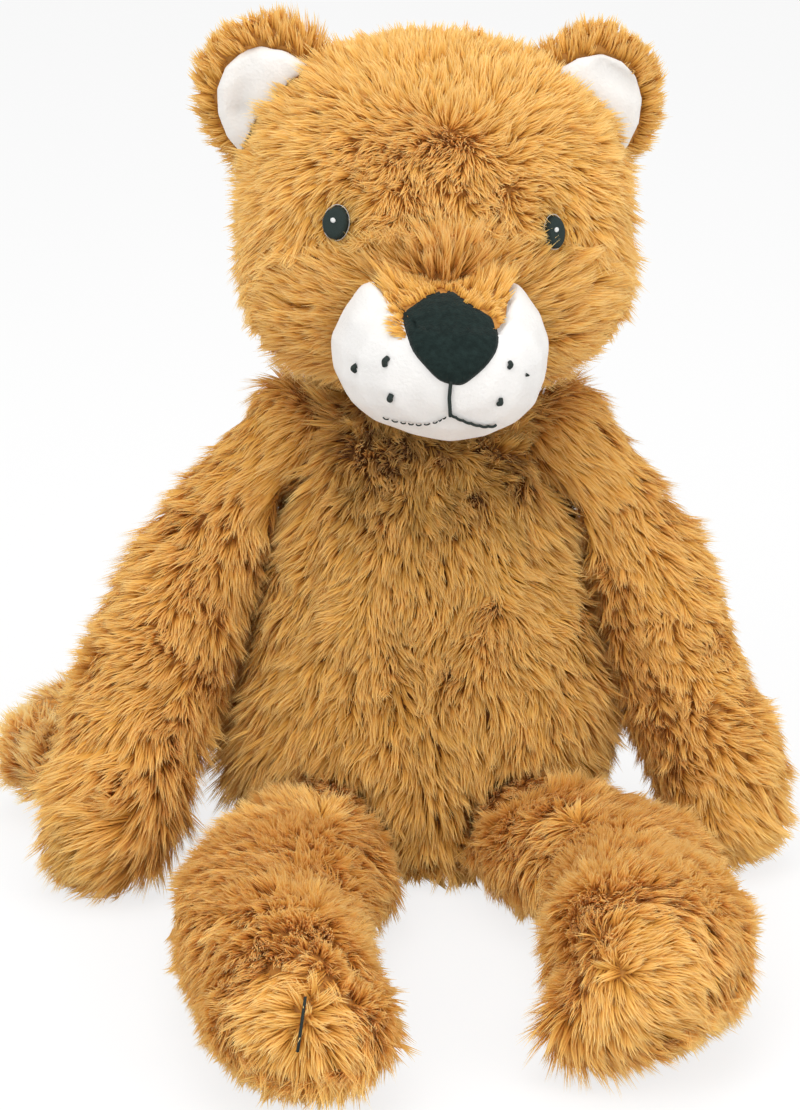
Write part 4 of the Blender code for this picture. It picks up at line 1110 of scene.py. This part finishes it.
for name, limb in limbs.items():
    body = limb["body"]
    kind = body.split("_")[1]
    shape = limbKinds[kind]
    nodes = ["%s_%s" % (body, piece) for piece in shape["parts"]]
    skin = formOf(name + "Skin", nodes, **limbForm)
    places, normals = moved(skin, *vertexArrays(skin), limb["dents"])
    root = np.array(limb["root"])
    side = np.sign(root[0])
    reach = np.array(limb["tip"]) - root
    along = (places - root) @ reach / (reach @ reach)
    middle = root + np.clip(along, 0.0, 1.0)[:, None] * reach
    outward = unit(places - middle)
    heading = reach / np.linalg.norm(reach)
    lean = np.full(len(places), shape["lean"])
    if kind == "arm":
        shoulder = fall(along, 0.05, 0.22)
        lean = lean + 0.8 * shoulder
        base = heading + np.array((0.35 * side, 0.0, -0.1)) + outward * 0.1
        base = base + shoulder[:, None] * np.array((1.2 * side, -0.4, -0.2))
        # In the armpit the pile leans towards the torso
        armpit = ramp(-outward[:, 0] * side, 0.2, 0.7) * fall(along, 0.25, 0.45)
        base = base + armpit[:, None] * np.array((-1.5 * side, -0.7, 0.0))
    else:
        base = heading * 0.7 + outward * 0.35 + np.array((0.15 * side, 0.0, -0.25))
    comb = combOf(places, normals, base, limb["whorls"])
    cover = ramp(places[:, 2], 0.001, 0.004) * beyondTorso(places, *shape["clear"])
    cover = cover * whorlCover(places, limb["whorls"])
    pile = patches(places, limb["longer"])
    tone = np.full(len(places), shape["tone"])
    skinTree = treeOf(skin)
    for index in shape["toes"]:
        thread = toeStitch("%sToeStitch%d" % (name, index), "%s_toe_stitch_%d" % (body, index), body, skinTree)
        if thread is not None:
            gap = np.min(np.linalg.norm(places[:, None, :] - thread[None, ::3, :], axis=2), axis=1)
            cover = cover * (0.1 + 0.9 * ramp(gap, *toeStitches["bare"]))
    if limb["crease"]:
        depth = creaseNear(places, limb["crease"], groove["reach"])
        pile = pile * (1.0 - groove["shorter"] * depth)
        cover = cover * (1.0 + groove["denser"] * depth)
        # Painted shade: the pile is darker deep in the groove
        tone = tone - groove["creaseShade"] * depth
    describePile(skin, comb, lean, pile, cover, tone)
    growFur(name + "Fur", skin, body, furPile, {**limbFur, "seed": limb["seed"]})
    finishSkin(skin, furBacking, body, nodes)
print("limbs done")

# Tail
tail = {
    "nodes": ("tail_skin", "tail_stuffing"), "form": {"voxel": 0.0016, "inset": 0.0022, "smooth": 6},
    "lean": 1.2, "tone": 0.5, "fur": {"length": 0.75, "tousle": 0.3, "seed": 61},
}
tailSkin = formOf("tailSkin", tail["nodes"], **tail["form"])
places, normals = vertexArrays(tailSkin)
comb = combOf(places, normals, np.array((-1.0, -0.2, 0.0)))
describePile(tailSkin, comb, tail["lean"], 1.0, beyondTorso(places), tail["tone"])
growFur("tailFur", tailSkin, "tail", furPile, tail["fur"])
finishSkin(tailSkin, furBacking, "tail", tail["nodes"])
tuft = {
    "nodes": ("tail_tuft",), "form": {"voxel": 0.0018, "inset": 0.0072, "smooth": 6},
    "dents": (((-0.1386, 0.0296, 0.0437), 0.016, (-0.0018, 0.0, 0.0042)),),
    "lean": 0.65, "tone": 0.88, "fur": {"density": 400000.0, "length": 1.2, "tousle": 0.5, "seed": 62},
}
tuftSkin = formOf("tuftSkin", tuft["nodes"], **tuft["form"])
places, normals = moved(tuftSkin, *vertexArrays(tuftSkin), tuft["dents"])
comb = combOf(places, normals, np.array((-0.9, -0.3, 0.35)))
describePile(tuftSkin, comb, tuft["lean"], 1.0, 1.0, tuft["tone"])
growFur("tuftFur", tuftSkin, "tail", tailPile, tuft["fur"])
finishSkin(tuftSkin, tailBacking, "tail", tuft["nodes"])
print("tail done")

for strands in tufts:
    bpy.data.objects.remove(strands, do_unlink=True)

# Studio
scene = bpy.context.scene
cameraData = bpy.data.cameras.new("photoCamera")
cameraData.sensor_fit = 'VERTICAL'
cameraData.sensor_height = photoCamera["sensor"]
cameraData.lens = photoCamera["lens"]
cameraObject = bpy.data.objects.new("photoCamera", cameraData)
cameraObject.location = photoCamera["place"]
cameraObject.rotation_euler = (radians(photoCamera["tilt"]), 0.0, 0.0)
scene.collection.objects.link(cameraObject)
scene.camera = cameraObject
scene.view_settings.view_transform = 'Standard'

for label in ("key", "fill", "top"):
    lamp = studio[label]
    data = bpy.data.lights.new(label + "Light", 'AREA')
    data.shape = 'DISK'
    data.size = lamp["size"]
    data.energy = lamp["watts"]
    obj = bpy.data.objects.new(label + "Light", data)
    obj.location = lamp["place"]
    heading = Vector((0.0, -0.03, 0.12)) - Vector(lamp["place"])
    obj.rotation_euler = heading.to_track_quat('-Z', 'Y').to_euler()
    scene.collection.objects.link(obj)


def seenDirectly(tree):
    rays = tree.nodes.new("ShaderNodeLightPath").outputs
    value = rays["Is Camera Ray"]
    for label in ("Is Glossy Ray", "Is Transmission Ray"):
        value = nodeAt(tree, "ShaderNodeMath", {0: value, 1: rays[label]}, operation='MAXIMUM').outputs[0]
    return value


# The backdrop is seen white, while the world lights the toy more softly
world = bpy.data.worlds.new("studioWorld")
world.use_nodes = True
scene.world = world
tree = world.node_tree
tree.nodes.clear()
white = (1.0, 1.0, 1.0, 1.0)
dim, bright = (nodeAt(tree, "ShaderNodeBackground", {"Color": white, "Strength": strength}).outputs[0]
               for strength in (studio["world"], 1.0))
mix = nodeAt(tree, "ShaderNodeMixShader", {0: seenDirectly(tree), 1: dim, 2: bright})
tree.links.new(mix.outputs[0], tree.nodes.new("ShaderNodeOutputWorld").inputs[0])

floorMesh = bpy.data.meshes.new("floor")
edge = 6.0
floorMesh.from_pydata([(-edge, -edge, 0), (edge, -edge, 0), (edge, edge, 0), (-edge, edge, 0)], [], [(0, 1, 2, 3)])
floor = addObject("floor", floorMesh)
floorPaint, tree, shader = principled("floorPaint", 0.9)
shader.inputs["Base Color"].default_value = (0.85, 0.85, 0.85, 1.0)
glow = nodeAt(tree, "ShaderNodeEmission", {"Color": white})
part = nodeAt(tree, "ShaderNodeMath", {0: seenDirectly(tree), 1: 0.78}, operation='MULTIPLY')
mix = nodeAt(tree, "ShaderNodeMixShader", {0: part.outputs[0], 1: shader.outputs[0], 2: glow.outputs[0]})
tree.links.new(mix.outputs[0], tree.nodes["Material Output"].inputs["Surface"])
floorMesh.materials.append(floorPaint)

meshes = [obj.data for obj in bpy.data.objects if obj.type == 'MESH']
print("triangles", sum(len(mesh.loop_triangles) or len(mesh.polygons) for mesh in meshes))
